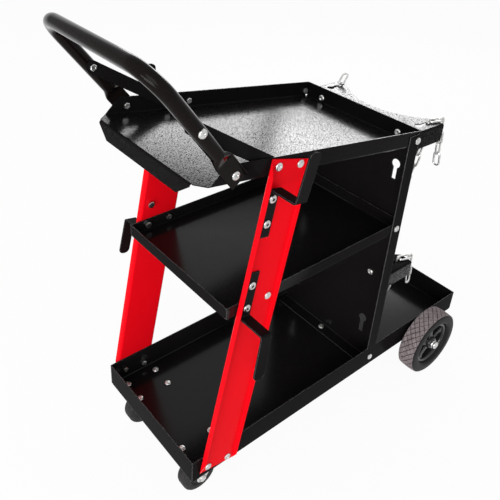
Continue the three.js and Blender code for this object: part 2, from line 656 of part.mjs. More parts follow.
// The links held at a slot: one upright through the plate, one lying over it, and a free tail behind it.
// lift and turn aim the lying link, tail counts the links that hang from its far end.
function slotLinks(bracket, s, lift, turn, tail) {
  const [x, z] = bracketPoint(bracket, BRACKET_SLOT.linkX, UPRIGHT_LINK_Z);
  const upright = new THREE.Vector3(x, s * BRACKET_SLOT.y, z);
  const links = [link(upright, Z, Y)];
  const aim = new THREE.Vector3(Math.cos(rad(turn)), s * Math.sin(rad(turn)), Math.tan(rad(lift)));
  aim.normalize();
  const start = upright.clone().addScaledVector(Z, LINK_REACH - LINK_CROSSING);
  const lying = start.clone().addScaledVector(aim, LINK_REACH);
  links.push(link(lying, aim, new THREE.Vector3(-aim.z, 0, aim.x)));
  const hang = start.clone().addScaledVector(aim, 2 * LINK_REACH).addScaledVector(Z, LINK_CROSSING);
  const down = new THREE.Vector3(TAIL_LEAN, 0, -1).normalize();
  const step = 2 * (LINK_REACH - LINK.wire) + LINK.bite;
  for (let i = 0; i < tail; i++) {
    const centre = hang.clone().addScaledVector(down, LINK_REACH + i * step);
    links.push(link(centre, down, i % 2 === 0 ? Y : X));
  }
  return join(links);
}

// Rear tyre with staggered diamond blocks
function rearTyre() {
  const w = REAR_WHEEL;
  const y = w.inner + w.width / 2;
  const h = w.width / 2;
  const base = w.radius - TREAD.depth;
  const carcass = turned(
    [[w.seat, -h + 4], [w.seat + 6, -h], [base - 6, -h], [base, -h + 6], [base, h - 6],
      [base - 6, h], [w.seat + 6, h], [w.seat, h - 4], [w.seat, -h + 4]],
    24,
    [w.x, y, w.radius],
  );
  const blocks = [];
  const step = (2 * Math.PI) / TREAD.blocks;
  for (let row = -1; row <= 1; row++)
    for (let i = 0; i < TREAD.blocks; i++) {
      const angle = (i + (row === 0 ? 0.5 : 0)) * step;
      const l = TREAD.length / 2;
      const b = TREAD.width / 2;
      const diamond = outline([[-l, 0], [0, -b], [l, 0], [0, b]]);
      const block = alongZ(diamond, base - 2, Math.sqrt(w.radius ** 2 - l ** 2));
      const turn = [0, THREE.MathUtils.radToDeg(angle), 0];
      blocks.push(block.translate([0, row * TREAD.row, 0]).rotate(turn).translate([w.x, y, w.radius]));
    }
  return join(carcass, blocks);
}

// Rear hub: rim, boss and five spokes between open pockets
function rearHub() {
  const w = REAR_WHEEL;
  const y = w.inner + w.width / 2;
  const rimIn = 43;
  const seat = w.seat - GAP;
  const bore = w.axle + GAP;
  const rimProfile = [[rimIn, -13], [seat, -13], [seat, 13], [rimIn + 1, 13], [rimIn, 10], [rimIn, -13]];
  const rim = turned(rimProfile, 24);
  const top = w.boss;
  const boss = turned([[bore, -17], [14, -17], [14, top - 2], [11, top], [bore, top], [bore, -17]], 12);
  const spokes = [];
  for (let i = 0; i < 5; i++) {
    const spoke = outline([[10, -6], [rimIn + 2, -4.5], [rimIn + 2, 4.5], [10, 6]]);
    spokes.push(alongY(spoke, -8, 8).rotate([0, i * 72 + 18, 0]));
  }
  const web = turned([[12, -3], [rimIn + 2, -3], [rimIn + 2, 1], [12, 1], [12, -3]], 24);
  const pockets = [];
  for (let i = 0; i < 5; i++) {
    const pocket = outline([[21, -4.5], [36, -12], [39, -8], [39, 8], [36, 12], [21, 4.5]]);
    pockets.push(alongY(pocket, -20, 20).rotate([0, i * 72 + 54, 0]));
  }
  const hub = join(rim, boss, spokes, cut(web, pockets));
  return cut(hub, bar("y", [0, 0, 0], bore, 80, 12)).translate([w.x, y, w.radius]);
}

function axleCap() {
  const a = REAR_WHEEL;
  const face = a.inner + a.width / 2 + a.boss + GAP;
  const bore = a.axle + GAP;
  const skin = [[bore, 0], [10, 0], [10, 2], [8.6, 3.4], [8.6, 7], [6.5, 9.2], [0, 9.6]];
  return turned([...skin, [0, 6], [bore, 6], [bore, 0]], 12, [a.x, face, a.radius]);
}

// Caster parts
function casterPlate() {
  const c = CASTER;
  const top = BOTTOM.z - GAP;
  const [halfX, halfY] = [c.plateX / 2, c.plateY / 2];
  const plate = box(c.x - halfX, c.x + halfX, c.y - halfY, c.y + halfY, top - PLATE, top);
  const cup = turned([[0, 0], [20, 0], [23, 2], [23, 4], [19, c.race], [0, c.race]], 16)
    .rotate([90, 0, 0])
    .translate([c.x, c.y, top - PLATE - c.race + 0.2]);
  const bolts = [];
  for (const sx of [1, -1])
    for (const sy of [1, -1])
      bolts.push(
        boltAndNut(SHEET + PLATE + GAP - 0.15)
          .rotate([90, 0, 0])
          .translate([c.x + sx * c.boltX, c.y + sy * c.boltY, BOTTOM.z + SHEET + 0.1]),
      );
  return join(plate, cup, bolts);
}

function casterFork() {
  const c = CASTER;
  const crownTop = BOTTOM.z - GAP - PLATE - c.race - GAP;
  const inner = c.width / 2 + 2;
  const crown = alongZ(rectangle(-20, 20, -inner - STRIP, inner + STRIP), crownTop - 3, crownTop);
  const cheek = new THREE.Shape();
  cheek.moveTo(20, crownTop);
  cheek.lineTo(-20, crownTop);
  cheek.lineTo(-c.trail - 10, c.radius + 5);
  cheek.absarc(-c.trail, c.radius, 11, Math.PI * 0.84, Math.PI * 1.75, false);
  cheek.lineTo(18, crownTop - 12);
  const plates = [alongY(cheek, inner, inner + STRIP), alongY(cheek, -inner - STRIP, -inner)];
  const pin = bar("y", [-c.trail, 0, c.radius], 4, 2 * (inner + STRIP) + 4, 12);
  const heads = [1, -1].map((s) => bar("y", [-c.trail, s * (inner + STRIP + 2), c.radius], 7.5, 4, 6));
  return join(crown, plates, pin, heads).translate([c.x, c.y, 0]);
}

function casterWheel() {
  const c = CASTER;
  const h = c.width / 2;
  return turned(
    [[4 + GAP, -h + 3], [19, -h + 3], [21, -h], [c.radius - 4, -h], [c.radius, -h + 5], [c.radius, h - 5],
      [c.radius - 4, h], [21, h], [19, h - 3], [4 + GAP, h - 3], [4 + GAP, -h + 3]],
    20,
    [c.x - c.trail, c.y, c.radius],
  );
}

addPart("bottom_tray", bottomTray(), "black");
addPart("mid_tray", cut(foldedTray(MID, [1, -1]), crossHoles), "black");
addPart("top_tray", topTray(), "black");
addPart("back_panel", backPanel(), "black");
addPair("leg", leg(), "red");
addPair("upper_cable_hook", hook("upper", 1), "black");
addPair("lower_cable_hook", hook("lower", -1), "black");
addPart("handle_tube", handleTube(), "gloss");
addPair("handle_brace", handleBrace(), "black");
addPart("upper_cylinder_bracket", cylinderBracket(UPPER_BRACKET), "black");
addPart("lower_cylinder_bracket", cylinderBracket(LOWER_BRACKET), "black");

addPart("upper_chain", hangingChain(UPPER_BRACKET, UPPER_CHAIN_LINKS), "zinc");
addPart("lower_chain", hangingChain(LOWER_BRACKET, LOWER_CHAIN_LINKS), "zinc");
addPart("upper_slot_links_far", slotLinks(UPPER_BRACKET, 1, 35, 17, 0), "zinc");
addPart("upper_slot_links_near", slotLinks(UPPER_BRACKET, -1, -UPPER_BRACKET.tilt, 17, 4), "zinc");
addPart("lower_slot_links_far", slotLinks(LOWER_BRACKET, 1, 0, 17, 0), "zinc");
addPart("lower_slot_links_near", slotLinks(LOWER_BRACKET, -1, 0, 17, 3), "zinc");

const axleEnd = REAR_WHEEL.inner + REAR_WHEEL.width / 2 + REAR_WHEEL.boss + 5;
const axleLine = [REAR_WHEEL.x, 0, REAR_WHEEL.radius];
addPart("rear_axle", bar("y", axleLine, REAR_WHEEL.axle, 2 * axleEnd, 16), "zinc");
addPair("rear_tyre", rearTyre(), "tyre");
addPair("rear_hub", rearHub(), "hub");
addPair("axle_cap", axleCap(), "zinc");
addPair("caster_plate", casterPlate(), "zinc");
addPair("caster_fork", casterFork(), "zinc");
addPair("caster_wheel", casterWheel(), "tyre");

for (const { name, xz, y, grip } of PAIRED_BOLTS)
  addPair(name, boltAndNut(grip).translate([xz[0], y, xz[1]]), "zinc");
for (const { place, s, bracket, xz } of bracketBolts) {
  const gap = 2 * GAP;
  const seat = -SHEET - 2 * gap;
  const lean = bracket.tilt + bracket.lean;
  const bolt = boltAndNut(SHEET + PLATE + 3 * gap).rotate([0, 0, 90]).rotate([0, lean, 0]);
  const name = place + "_bracket_bolt_" + (s > 0 ? "far" : "near");
  addPart(name, bolt.translate([xz[0] + seat, s * BRACKET_BOLT.y, xz[1]]), "zinc");
}
addPart(
  "panel_floor_bolt",
  boltAndNut(2 * SHEET + GAP).rotate([90, 0, 0]).translate([PANEL_FOOT.x, 0, PANEL_FOOT.z]),
  "zinc",
);

export default group;
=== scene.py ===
"""Looks of a three-tier welding cart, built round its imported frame.

Sizes in the classes are millimetres in the cart's own frame: +X points to the cylinder end,
-X to the handle, +Z is up, and the near side is -Y. Meshes are made in metres.
"""

import logging
import math
from abc import ABC, abstractmethod
from dataclasses import dataclass, field, replace
from enum import Enum

import bmesh
import bpy
from mathutils import Matrix, Vector

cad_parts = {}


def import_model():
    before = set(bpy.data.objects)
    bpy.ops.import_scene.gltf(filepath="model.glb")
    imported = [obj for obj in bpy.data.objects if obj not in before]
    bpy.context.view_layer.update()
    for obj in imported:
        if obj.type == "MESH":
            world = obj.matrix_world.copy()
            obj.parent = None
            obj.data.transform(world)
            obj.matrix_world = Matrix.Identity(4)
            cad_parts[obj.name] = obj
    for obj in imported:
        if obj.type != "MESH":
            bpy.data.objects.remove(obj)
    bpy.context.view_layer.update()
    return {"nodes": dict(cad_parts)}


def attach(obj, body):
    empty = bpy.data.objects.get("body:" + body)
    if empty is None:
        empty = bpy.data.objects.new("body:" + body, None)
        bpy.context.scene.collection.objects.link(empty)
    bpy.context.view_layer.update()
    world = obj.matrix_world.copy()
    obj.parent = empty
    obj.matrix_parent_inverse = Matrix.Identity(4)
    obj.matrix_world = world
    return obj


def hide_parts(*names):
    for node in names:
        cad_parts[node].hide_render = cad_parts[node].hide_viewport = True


LOG = logging.getLogger("welding_cart")
MM = 0.001
SMOOTH_LIMIT = math.radians(34.0)
ROUND_LIMIT = math.radians(38.0)
SAME_POINT = 1e-6
SAME_CORNER = 1e-5
HALVINGS = 60
WHITE = (1.0, 1.0, 1.0, 1.0)
UP = Vector((0, 0, 1))

Material = bpy.types.Material
Node = bpy.types.Node
Piece = bpy.types.Object
Socket = bpy.types.NodeSocket
World = bpy.types.World
Face = tuple[int, ...]
Pair = tuple[float, float]
Point = tuple[float, float, float]
Colour = tuple[float, float, float]


class Side(Enum):
    """The two sides of the cart and the sign of Y on each."""

    NEAR = -1
    FAR = 1

    @property
    def label(self) -> str:
        """The word that node names end in."""
        return self.name.lower()


class Slot(str, Enum):
    """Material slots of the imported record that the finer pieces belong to."""

    TUBE = "gloss_black_tube"
    ZINC = "zinc_steel"
    TYRE = "tyre_rubber"
    HUB = "hub_plastic"
    CASTER = "caster_rubber"


class Sketch:
    """The node tree of a material or a room, with short calls for adding and joining nodes."""

    def __init__(self, owner: Material | World) -> None:
        """Start with an empty tree.

        Args:
            owner: Material or room that the tree belongs to.
        """
        owner.use_nodes = True
        self.owner = owner
        self.tree = owner.node_tree
        self.tree.nodes.clear()
        self.output = self.add("OutputWorld" if isinstance(owner, World) else "OutputMaterial")

    def add(self, kind: str, **values: object) -> Node:
        """Add one node.

        Args:
            kind: Node type without the ShaderNode prefix.
            **values: Input socket values by socket name with spaces as underscores,
                or node settings where no such socket exists.

        Returns:
            The new node.
        """
        node = self.tree.nodes.new("ShaderNode" + kind)
        for key, value in values.items():
            socket = node.inputs.get(key.replace("_", " "))
            if socket is not None:
                socket.default_value = value
            else:
                setattr(node, key, value)
        return node

    def join(self, source: Socket, target: Socket) -> None:
        """Link an output socket to an input socket."""
        self.tree.links.new(source, target)

    def ramp(self, source: Socket, stops: list[tuple[float, Colour]]) -> Socket:
        """Map a value through colour stops.

        Args:
            source: Value to map.
            stops: Positions and linear colours.

        Returns:
            The colour output.
        """
        node = self.add("ValToRGB")
        elements = node.color_ramp.elements
        while len(elements) < len(stops):
            elements.new(0.5)
        for element, (place, colour) in zip(elements, stops):
            element.position = place
            element.color = (*colour, 1.0)
        self.join(source, node.inputs["Fac"])
        return node.outputs["Color"]

    def span(self, source: Socket, low: float, high: float,
             start: float = 0.0, end: float = 1.0) -> Socket:
        """Map a value to a range.

        Args:
            source: Value to map.
            low: Result at the start.
            high: Result at the end.
            start: Value that the range starts at.
            end: Value that the range ends at.

        Returns:
            The mapped output.
        """
        node = self.add("MapRange", From_Min=start, From_Max=end, To_Min=low, To_Max=high)
        self.join(source, node.inputs["Value"])
        return node.outputs["Result"]

    def noise(self, scale: float, detail: float = 2.0, roughness: float = 0.5) -> Socket:
        """Noise fixed to the piece.

        Args:
            scale: Features per metre.
            detail: Octaves.
            roughness: Weight of the finer octaves.

        Returns:
            The noise value.
        """
        where = self.add("TexCoord")
        node = self.add("TexNoise", Scale=scale, Detail=detail, Roughness=roughness)
        self.join(where.outputs["Object"], node.inputs["Vector"])
        return node.outputs["Fac"]

    def bump(self, height: Socket, strength: float, distance: float) -> Socket:
        """Turn a height into a normal.

        Args:
            height: Height from 0 to 1.
            strength: Share of the effect.
            distance: Depth in metres.

        Returns:
            The normal output.
        """
        node = self.add("Bump", Strength=strength, Distance=distance)
        self.join(height, node.inputs["Height"])
        return node.outputs["Normal"]

    def shown(self) -> Socket:
        """Tell what is seen or mirrored from what only gives light.

        Returns:
            A value of 1 on rays from the eye, also by way of a mirror, and 0 on others.
        """
        path = self.add("LightPath")
        total = path.outputs["Is Camera Ray"]
        for ray in ("Is Glossy Ray", "Is Transmission Ray"):
            either = self.add("Math", operation="ADD", use_clamp=True)
            self.join(total, either.inputs[0])
            self.join(path.outputs[ray], either.inputs[1])
            total = either.outputs[0]
        return total

    def product(self, first: Socket, second: Socket | float) -> Socket:
        """Multiply a value.

        Args:
            first: Value to multiply.
            second: Value or number to multiply it by.

        Returns:
            The product.
        """
        node = self.add("Math", operation="MULTIPLY")
        self.join(first, node.inputs[0])
        if isinstance(second, float):
            node.inputs[1].default_value = second
        else:
            self.join(second, node.inputs[1])
        return node.outputs[0]

    def mix(self, share: Socket, first: Node, second: Node) -> Node:
        """Mix two shaders.

        Args:
            share: Share of the second shader.
            first: Shader at a share of 0.
            second: Shader at a share of 1.

        Returns:
            The mixing node.
        """
        node = self.add("MixShader")
        for source, target in zip((share, first.outputs[0], second.outputs[0]), node.inputs):
            self.join(source, target)
        return node

    def finish(self, shader: Node) -> Material | World:
        """Send a shader to the output and hand over the tree's owner."""
        self.join(shader.outputs[0], self.output.inputs["Surface"])
        return self.owner


@dataclass(frozen=True)
class Finish(ABC):
    """A surface finish that makes its material once."""

    name: str

    def material(self) -> Material:
        """The finish's material, made at the first call."""
        found = bpy.data.materials.get(self.name)
        return found if found is not None else self.make()

    @abstractmethod
    def make(self) -> Material:
        """Build the material."""

    def sketch(self) -> Sketch:
        """Start a new material under the finish's name."""
        return Sketch(bpy.data.materials.new(self.name))


@dataclass(frozen=True)
class PowderCoat(Finish):
    """Powder paint with the fine pebbled skin that it bakes to.

    Attributes:
        colour: Linear paint colour.
        shade: Linear colour of the slightly darker patches.
        rough: Lowest and highest roughness.
        specular: Specular level of the skin seen straight on.
        grazing: Specular level of the skin seen at a low angle.
        slants: Slants of view, from 0 straight on to 1, between which one level passes into the other.
        sparkle: Lowest and highest share of the specular level from pebble to pebble.
        grain: Pebbles per metre.
        depth: Pebble depth in metres.
        strength: Share of the pebble bump.
    """

    colour: Colour
    shade: Colour
    rough: Pair
    specular: float
    grazing: float
    slants: Pair = (0.56, 0.7)
    sparkle: Pair = (0.8, 1.2)
    grain: float = 600.0
    depth: float = 0.00006
    strength: float = 0.5

    def make(self) -> Material:
        """Build the material.

        Returns:
            The paint's material.
        """
        s = self.sketch()
        skin = s.add("BsdfPrincipled")
        broad = s.noise(scale=9.0, detail=3.0, roughness=0.6)
        s.join(s.ramp(broad, [(0.3, self.shade), (0.7, self.colour)]), skin.inputs["Base Color"])
        pebble = s.noise(self.grain, detail=1.5, roughness=0.55)
        s.join(s.span(pebble, *self.rough), skin.inputs["Roughness"])
        s.join(s.bump(pebble, self.strength, self.depth), skin.inputs["Normal"])
        slant = s.add("LayerWeight", Blend=0.5).outputs["Facing"]
        level = s.span(slant, self.specular, self.grazing, *self.slants)
        glint = s.span(pebble, *self.sparkle, start=0.38, end=0.62)
        s.join(s.product(level, glint), skin.inputs["Specular IOR Level"])
        return s.finish(skin)


@dataclass(frozen=True)
class ZincPlate(Finish):
    """Bright zinc on steel with faint clouding and fine drawing marks.

    Attributes:
        bright: Linear colour of the brightest plate.
        dull: Linear colour of the clouded plate.
        rough: Lowest and highest roughness.
    """

    bright: Colour
    dull: Colour
    rough: Pair

    def make(self) -> Material:
        """Build the material.

        Returns:
            The plate's material.
        """
        s = self.sketch()
        skin = s.add("BsdfPrincipled", Metallic=1.0)
        cloud = s.noise(scale=160.0, detail=3.0, roughness=0.6)
        s.join(s.ramp(cloud, [(0.35, self.dull), (0.65, self.bright)]), skin.inputs["Base Color"])
        s.join(s.span(cloud, *self.rough), skin.inputs["Roughness"])
        marks = s.noise(scale=1400.0, detail=1.0)
        s.join(s.bump(marks, strength=0.12, distance=0.0001), skin.inputs["Normal"])
        return s.finish(skin)


@dataclass(frozen=True)
class Rubber(Finish):
    """Moulded rubber with a dusty bloom.

    Attributes:
        colour: Linear colour of clean rubber.
        dust: Linear colour of the bloom.
        cover: Noise value at which the bloom starts, lower is dustier.
        rough: Lowest and highest roughness.
        specular: Specular level.
        fade: Rise of the noise value from clean rubber to full bloom.
    """

    colour: Colour
    dust: Colour
    cover: float
    rough: Pair
    specular: float
    fade: float = 0.3

    def make(self) -> Material:
        """Build the material.

        Returns:
            The rubber's material.
        """
        s = self.sketch()
        skin = s.add("BsdfPrincipled", Specular_IOR_Level=self.specular)
        bloom = s.noise(scale=120.0, detail=4.0, roughness=0.65)
        stops = [(self.cover, self.colour), (self.cover + self.fade, self.dust)]
        s.join(s.ramp(bloom, stops), skin.inputs["Base Color"])
        s.join(s.span(bloom, *self.rough), skin.inputs["Roughness"])
        grain = s.noise(scale=900.0, detail=2.0)
        s.join(s.bump(grain, strength=0.25, distance=0.0002), skin.inputs["Normal"])
        return s.finish(skin)


@dataclass(frozen=True)
class MouldedPlastic(Finish):
    """Moulded plastic with a fine satin grain.

    Attributes:
        colour: Linear colour.
        shade: Linear colour of the darker flow marks.
        rough: Lowest and highest roughness.
    """

    colour: Colour
    shade: Colour
    rough: Pair

    def make(self) -> Material:
        """Build the material.

        Returns:
            The plastic's material.
        """
        s = self.sketch()
        skin = s.add("BsdfPrincipled", Specular_IOR_Level=0.4)
        flow = s.noise(scale=45.0, detail=2.0)
        s.join(s.ramp(flow, [(0.3, self.shade), (0.7, self.colour)]), skin.inputs["Base Color"])
        grain = s.noise(scale=1100.0, detail=1.0)
        s.join(s.span(grain, *self.rough), skin.inputs["Roughness"])
        s.join(s.bump(grain, strength=0.15, distance=0.0001), skin.inputs["Normal"])
        return s.finish(skin)


@dataclass(frozen=True)
class StudioFloor(Finish):
    """A pale floor that looks white and keeps the cart's shadow.

    Attributes:
        colour: Linear colour of the paper.
        lift: Share of plain white where the floor is seen or mirrored.
        fibre_shade: Brightness of the darker fibres against the paper.
    """

    colour: Colour
    lift: float
    fibre_shade: float = 0.985

    def make(self) -> Material:
        """Build the material.

        Returns:
            The paper's material.
        """
        s = self.sketch()
        paper = s.add("BsdfDiffuse")
        fibre = s.noise(scale=30.0, detail=2.0)
        dark = tuple(c * self.fibre_shade for c in self.colour)
        s.join(s.ramp(fibre, [(0.4, dark), (0.6, self.colour)]), paper.inputs["Color"])
        white = s.add("Emission", Color=WHITE, Strength=1.0)
        return s.finish(s.mix(s.product(s.shown(), self.lift), paper, white))


BLACK_SHEET = PowderCoat(
    "black_sheet_coat", colour=(0.0085, 0.0076, 0.0080), shade=(0.0068, 0.0060, 0.0063),
    rough=(0.14, 0.19), specular=0.17, grazing=0.006, slants=(0.43, 0.49),
)
STRIP_COAT = replace(BLACK_SHEET, name="strip_coat", rough=(0.16, 0.22), specular=0.03)
SPARKLE_SHEET = PowderCoat(
    "sparkle_sheet_coat", colour=(0.0070, 0.0062, 0.0066), shade=(0.0058, 0.0051, 0.0054),
    rough=(0.15, 0.22), specular=0.02, grazing=0.72, sparkle=(0.0, 2.0), grain=500.0, depth=0.00008,
)
# Light grey coat for the rounded edges of the black pieces: a painted highlight along their rims, far lighter
# than the black paint beside it.
EDGE_HIGHLIGHT_PAINT = PowderCoat(
    "thin_rim_coat", colour=(0.20, 0.195, 0.20), shade=(0.14, 0.136, 0.14),
    rough=(0.18, 0.26), specular=0.9, grazing=0.9, strength=0.3,
)
GLOSS_TUBE = PowderCoat(
    "gloss_tube_coat", colour=(0.0060, 0.0042, 0.0038), shade=(0.0046, 0.0032, 0.0029),
    rough=(0.08, 0.11), specular=0.06, grazing=0.50, sparkle=(0.75, 1.25), grain=700.0, depth=0.0001,
    strength=0.08,
)
RED_SHEET = PowderCoat(
    "red_sheet_coat", colour=(0.80, 0.0030, 0.0095), shade=(0.76, 0.0028, 0.0090),
    rough=(0.26, 0.34), specular=0.02, grazing=0.22, sparkle=(0.7, 1.3), grain=620.0, depth=0.0003,
    strength=0.12,
)
ZINC = ZincPlate("zinc_plate", bright=(0.72, 0.72, 0.71), dull=(0.46, 0.46, 0.45), rough=(0.20, 0.38))
TREAD_RUBBER = Rubber(
    "tread_rubber", colour=(0.15, 0.125, 0.13), dust=(0.26, 0.215, 0.222), cover=0.32, rough=(0.65, 0.9),
    specular=0.2,
)
WALL_RUBBER = Rubber(
    "wall_rubber", colour=(0.010, 0.0098, 0.0098), dust=(0.018, 0.017, 0.017), cover=0.45, rough=(0.4, 0.6),
    specular=0.1,
)
CASTER_RUBBER = Rubber(
    "caster_rubber_grey", colour=(0.018, 0.017, 0.017), dust=(0.04, 0.038, 0.037), cover=0.45,
    rough=(0.45, 0.7), specular=0.15,
)
HUB_BLACK = MouldedPlastic(
    "hub_black", colour=(0.014, 0.014, 0.015), shade=(0.010, 0.010, 0.011), rough=(0.2, 0.32),
)
FLOOR_PAPER = StudioFloor("studio_paper", colour=(0.90, 0.90, 0.90), lift=0.94)


def smooth(mesh: bpy.types.Mesh) -> None:
    """Shade a mesh smooth except across sharp edges."""
    mesh.polygons.foreach_set("use_smooth", [True] * len(mesh.polygons))
    mesh.set_sharp_from_angle(angle=SMOOTH_LIMIT)


class Shape:
    """A mesh that is gathered from simple forms in millimetres."""

    def __init__(self) -> None:
        """Start empty."""
        self.points: list[Point] = []
        self.faces: list[Face] = []
        self.paints: list[int] = []

    def add(self, points: list[Point], faces: list[Face], paint: int = 0,
            place: Matrix | None = None) -> None:
        """Add points and faces.

        Args:
            points: Corner points.
            faces: Corner numbers of each face, counted in these points.
            paint: Material number of these faces.
            place: Matrix that the points are moved by.
        """
        first = len(self.points)
        for point in points:
            moved = place @ Vector(point) if place is not None else Vector(point)
            self.points.append(tuple(moved))
        self.faces.extend(tuple(first + i for i in face) for face in faces)
        self.paints.extend([paint] * len(faces))

    def turn(self, profile: list[Pair], sides: int, place: Matrix, closed: bool = True) -> None:
        """Add a body of revolution about its own Z axis.

        Args:
            profile: Radius and height pairs, running up the outside.
            sides: Faces round the axis.
            place: Matrix that the body is moved by.
            closed: Whether the profile's end joins its start.
        """
        count = len(profile)
        points = []
        for k in range(sides):
            angle = 2 * math.pi * k / sides
            points += [(r * math.cos(angle), r * math.sin(angle), z) for r, z in profile]
        faces = []
        for k in range(sides):
            a = k * count
            b = ((k + 1) % sides) * count
            for i in range(count if closed else count - 1):
                j = (i + 1) % count
                if max(profile[i][0], profile[j][0]) >= SAME_POINT:
                    faces.append((a + i, b + i, b + j, a + j))
        self.add(points, faces, 0, place)

    def sweep(self, rings: list[list[Point]], closed: bool) -> None:
        """Add a skin over rings of equal count.

        Args:
            rings: Rings of points in order.
            closed: Whether the last ring joins the first; otherwise both ends are capped.
        """
        count = len(rings[0])
        points = [p for ring in rings for p in ring]
        faces: list[Face] = []
        for r in range(len(rings) if closed else len(rings) - 1):
            a = r * count
            b = ((r + 1) % len(rings)) * count
            for i in range(count):
                j = (i + 1) % count
                faces.append((a + i, a + j, b + j, b + i))
        if not closed:
            faces.append(tuple(range(count))[::-1])
            last = (len(rings) - 1) * count
            faces.append(tuple(range(last, last + count)))
        self.add(points, faces)

    def piece(self, name: str, finishes: list[Finish], bevel: float = 0.0) -> Piece:
        """Make the object.

        Args:
            name: Name of the piece.
            finishes: Finishes in the order of the material numbers.
            bevel: Edge round in millimetres, 0 for none.

        Returns:
            The new object, in the cart's frame.
        """
        mesh = bpy.data.meshes.new(name)
        mesh.from_pydata([tuple(c * MM for c in p) for p in self.points], [], self.faces)
        for finish in finishes:
            mesh.materials.append(finish.material())
        mesh.polygons.foreach_set("material_index", self.paints)
        work = bmesh.new()
        work.from_mesh(mesh)
        bmesh.ops.remove_doubles(work, verts=work.verts, dist=SAME_POINT)
        bmesh.ops.recalc_face_normals(work, faces=work.faces)
        work.to_mesh(mesh)
        work.free()
        smooth(mesh)
        made = bpy.data.objects.new(name, mesh)
        bpy.context.scene.collection.objects.link(made)
        if bevel > 0:
            round_edges(made, bevel)
        return made


def round_edges(piece: Piece, width: float, rim: PowderCoat | None = None) -> None:
    """Round a piece's sharp edges without touching its own mesh.

    Args:
        piece: Object to round.
        width: Round in millimetres.
        rim: Coat of the rounded edges, where it differs from the faces beside them; a light one paints a
            highlight along the edges.
    """
    weld = piece.modifiers.new("weld", "WELD")
    weld.merge_threshold = SAME_CORNER
    edge = piece.modifiers.new("edge_round", "BEVEL")
    edge.width = width * MM
    edge.segments = 2
    edge.limit_method = "ANGLE"
    edge.angle_limit = ROUND_LIMIT
    edge.harden_normals = False
    # The rim coat goes on the bevel faces; on the black pieces it is a light grey that paints a highlight
    # along the edges.
    if rim is not None:
        piece.data.materials.append(rim.material())
        edge.material = len(piece.data.materials) - 1
    normal = piece.modifiers.new("even_shading", "WEIGHTED_NORMAL")
    normal.keep_sharp = True


def set_in_place(piece: Piece, body: str, slot: Slot, *nodes: str) -> None:
    """Fix a piece to its body and hide the solids that it takes the place of.

    Args:
        piece: The dressed piece.
        body: Body that carries it.
        slot: Material slot it belongs to; not used.
        *nodes: Solids that it takes the place of.
    """
    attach(piece, body)
    if nodes:
        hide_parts(*nodes)
    LOG.info("piece %s rides on %s", piece.name, body)


@dataclass
class SheetWork:
    """The painted and plated pieces that keep their solids.

    Attributes:
        nodes: Solids by name.
        edge: Round of their edges.
        black: Pieces in plain black.
        strips: Bent strips and braces in black with less gloss.
        sparkling: Pieces in speckled black.
        red: Pieces in red.
        plated: Pieces in zinc.
    """

    nodes: dict[str, Piece]
    edge: float = 0.5
    black: tuple[str, ...] = ("bottom_tray", "mid_tray", "back_panel")
    strips: tuple[str, ...] = (
        "upper_cable_hook_near", "upper_cable_hook_far", "lower_cable_hook_near", "lower_cable_hook_far",
        "handle_brace_near", "handle_brace_far",
    )
    sparkling: tuple[str, ...] = ("top_tray", "upper_cylinder_bracket", "lower_cylinder_bracket")
    red: tuple[str, ...] = ("leg_near", "leg_far")
    plated: tuple[str, ...] = (
        "rear_axle", "caster_plate_near", "caster_plate_far", "caster_fork_near", "caster_fork_far",
    )

    def dress(self) -> None:
        """Give each sheet piece its finish and rounded edges, with a painted highlight on the edges of the
        black pieces.
        """
        # The light grey edge coat on the black, strip and speckled pieces is a painted highlight along their
        # rims.
        coats = (
            (self.black, BLACK_SHEET, EDGE_HIGHLIGHT_PAINT), (self.strips, STRIP_COAT, EDGE_HIGHLIGHT_PAINT),
            (self.sparkling, SPARKLE_SHEET, EDGE_HIGHLIGHT_PAINT), (self.red, RED_SHEET, None), (self.plated, ZINC, None),
        )
        for names, finish, rim in coats:
            for name in names:
                node = self.nodes[name]
                node.data.materials.clear()
                node.data.materials.append(finish.material())
                round_edges(node, self.edge, rim)
                LOG.info("solid %s wears %s", name, finish.name)


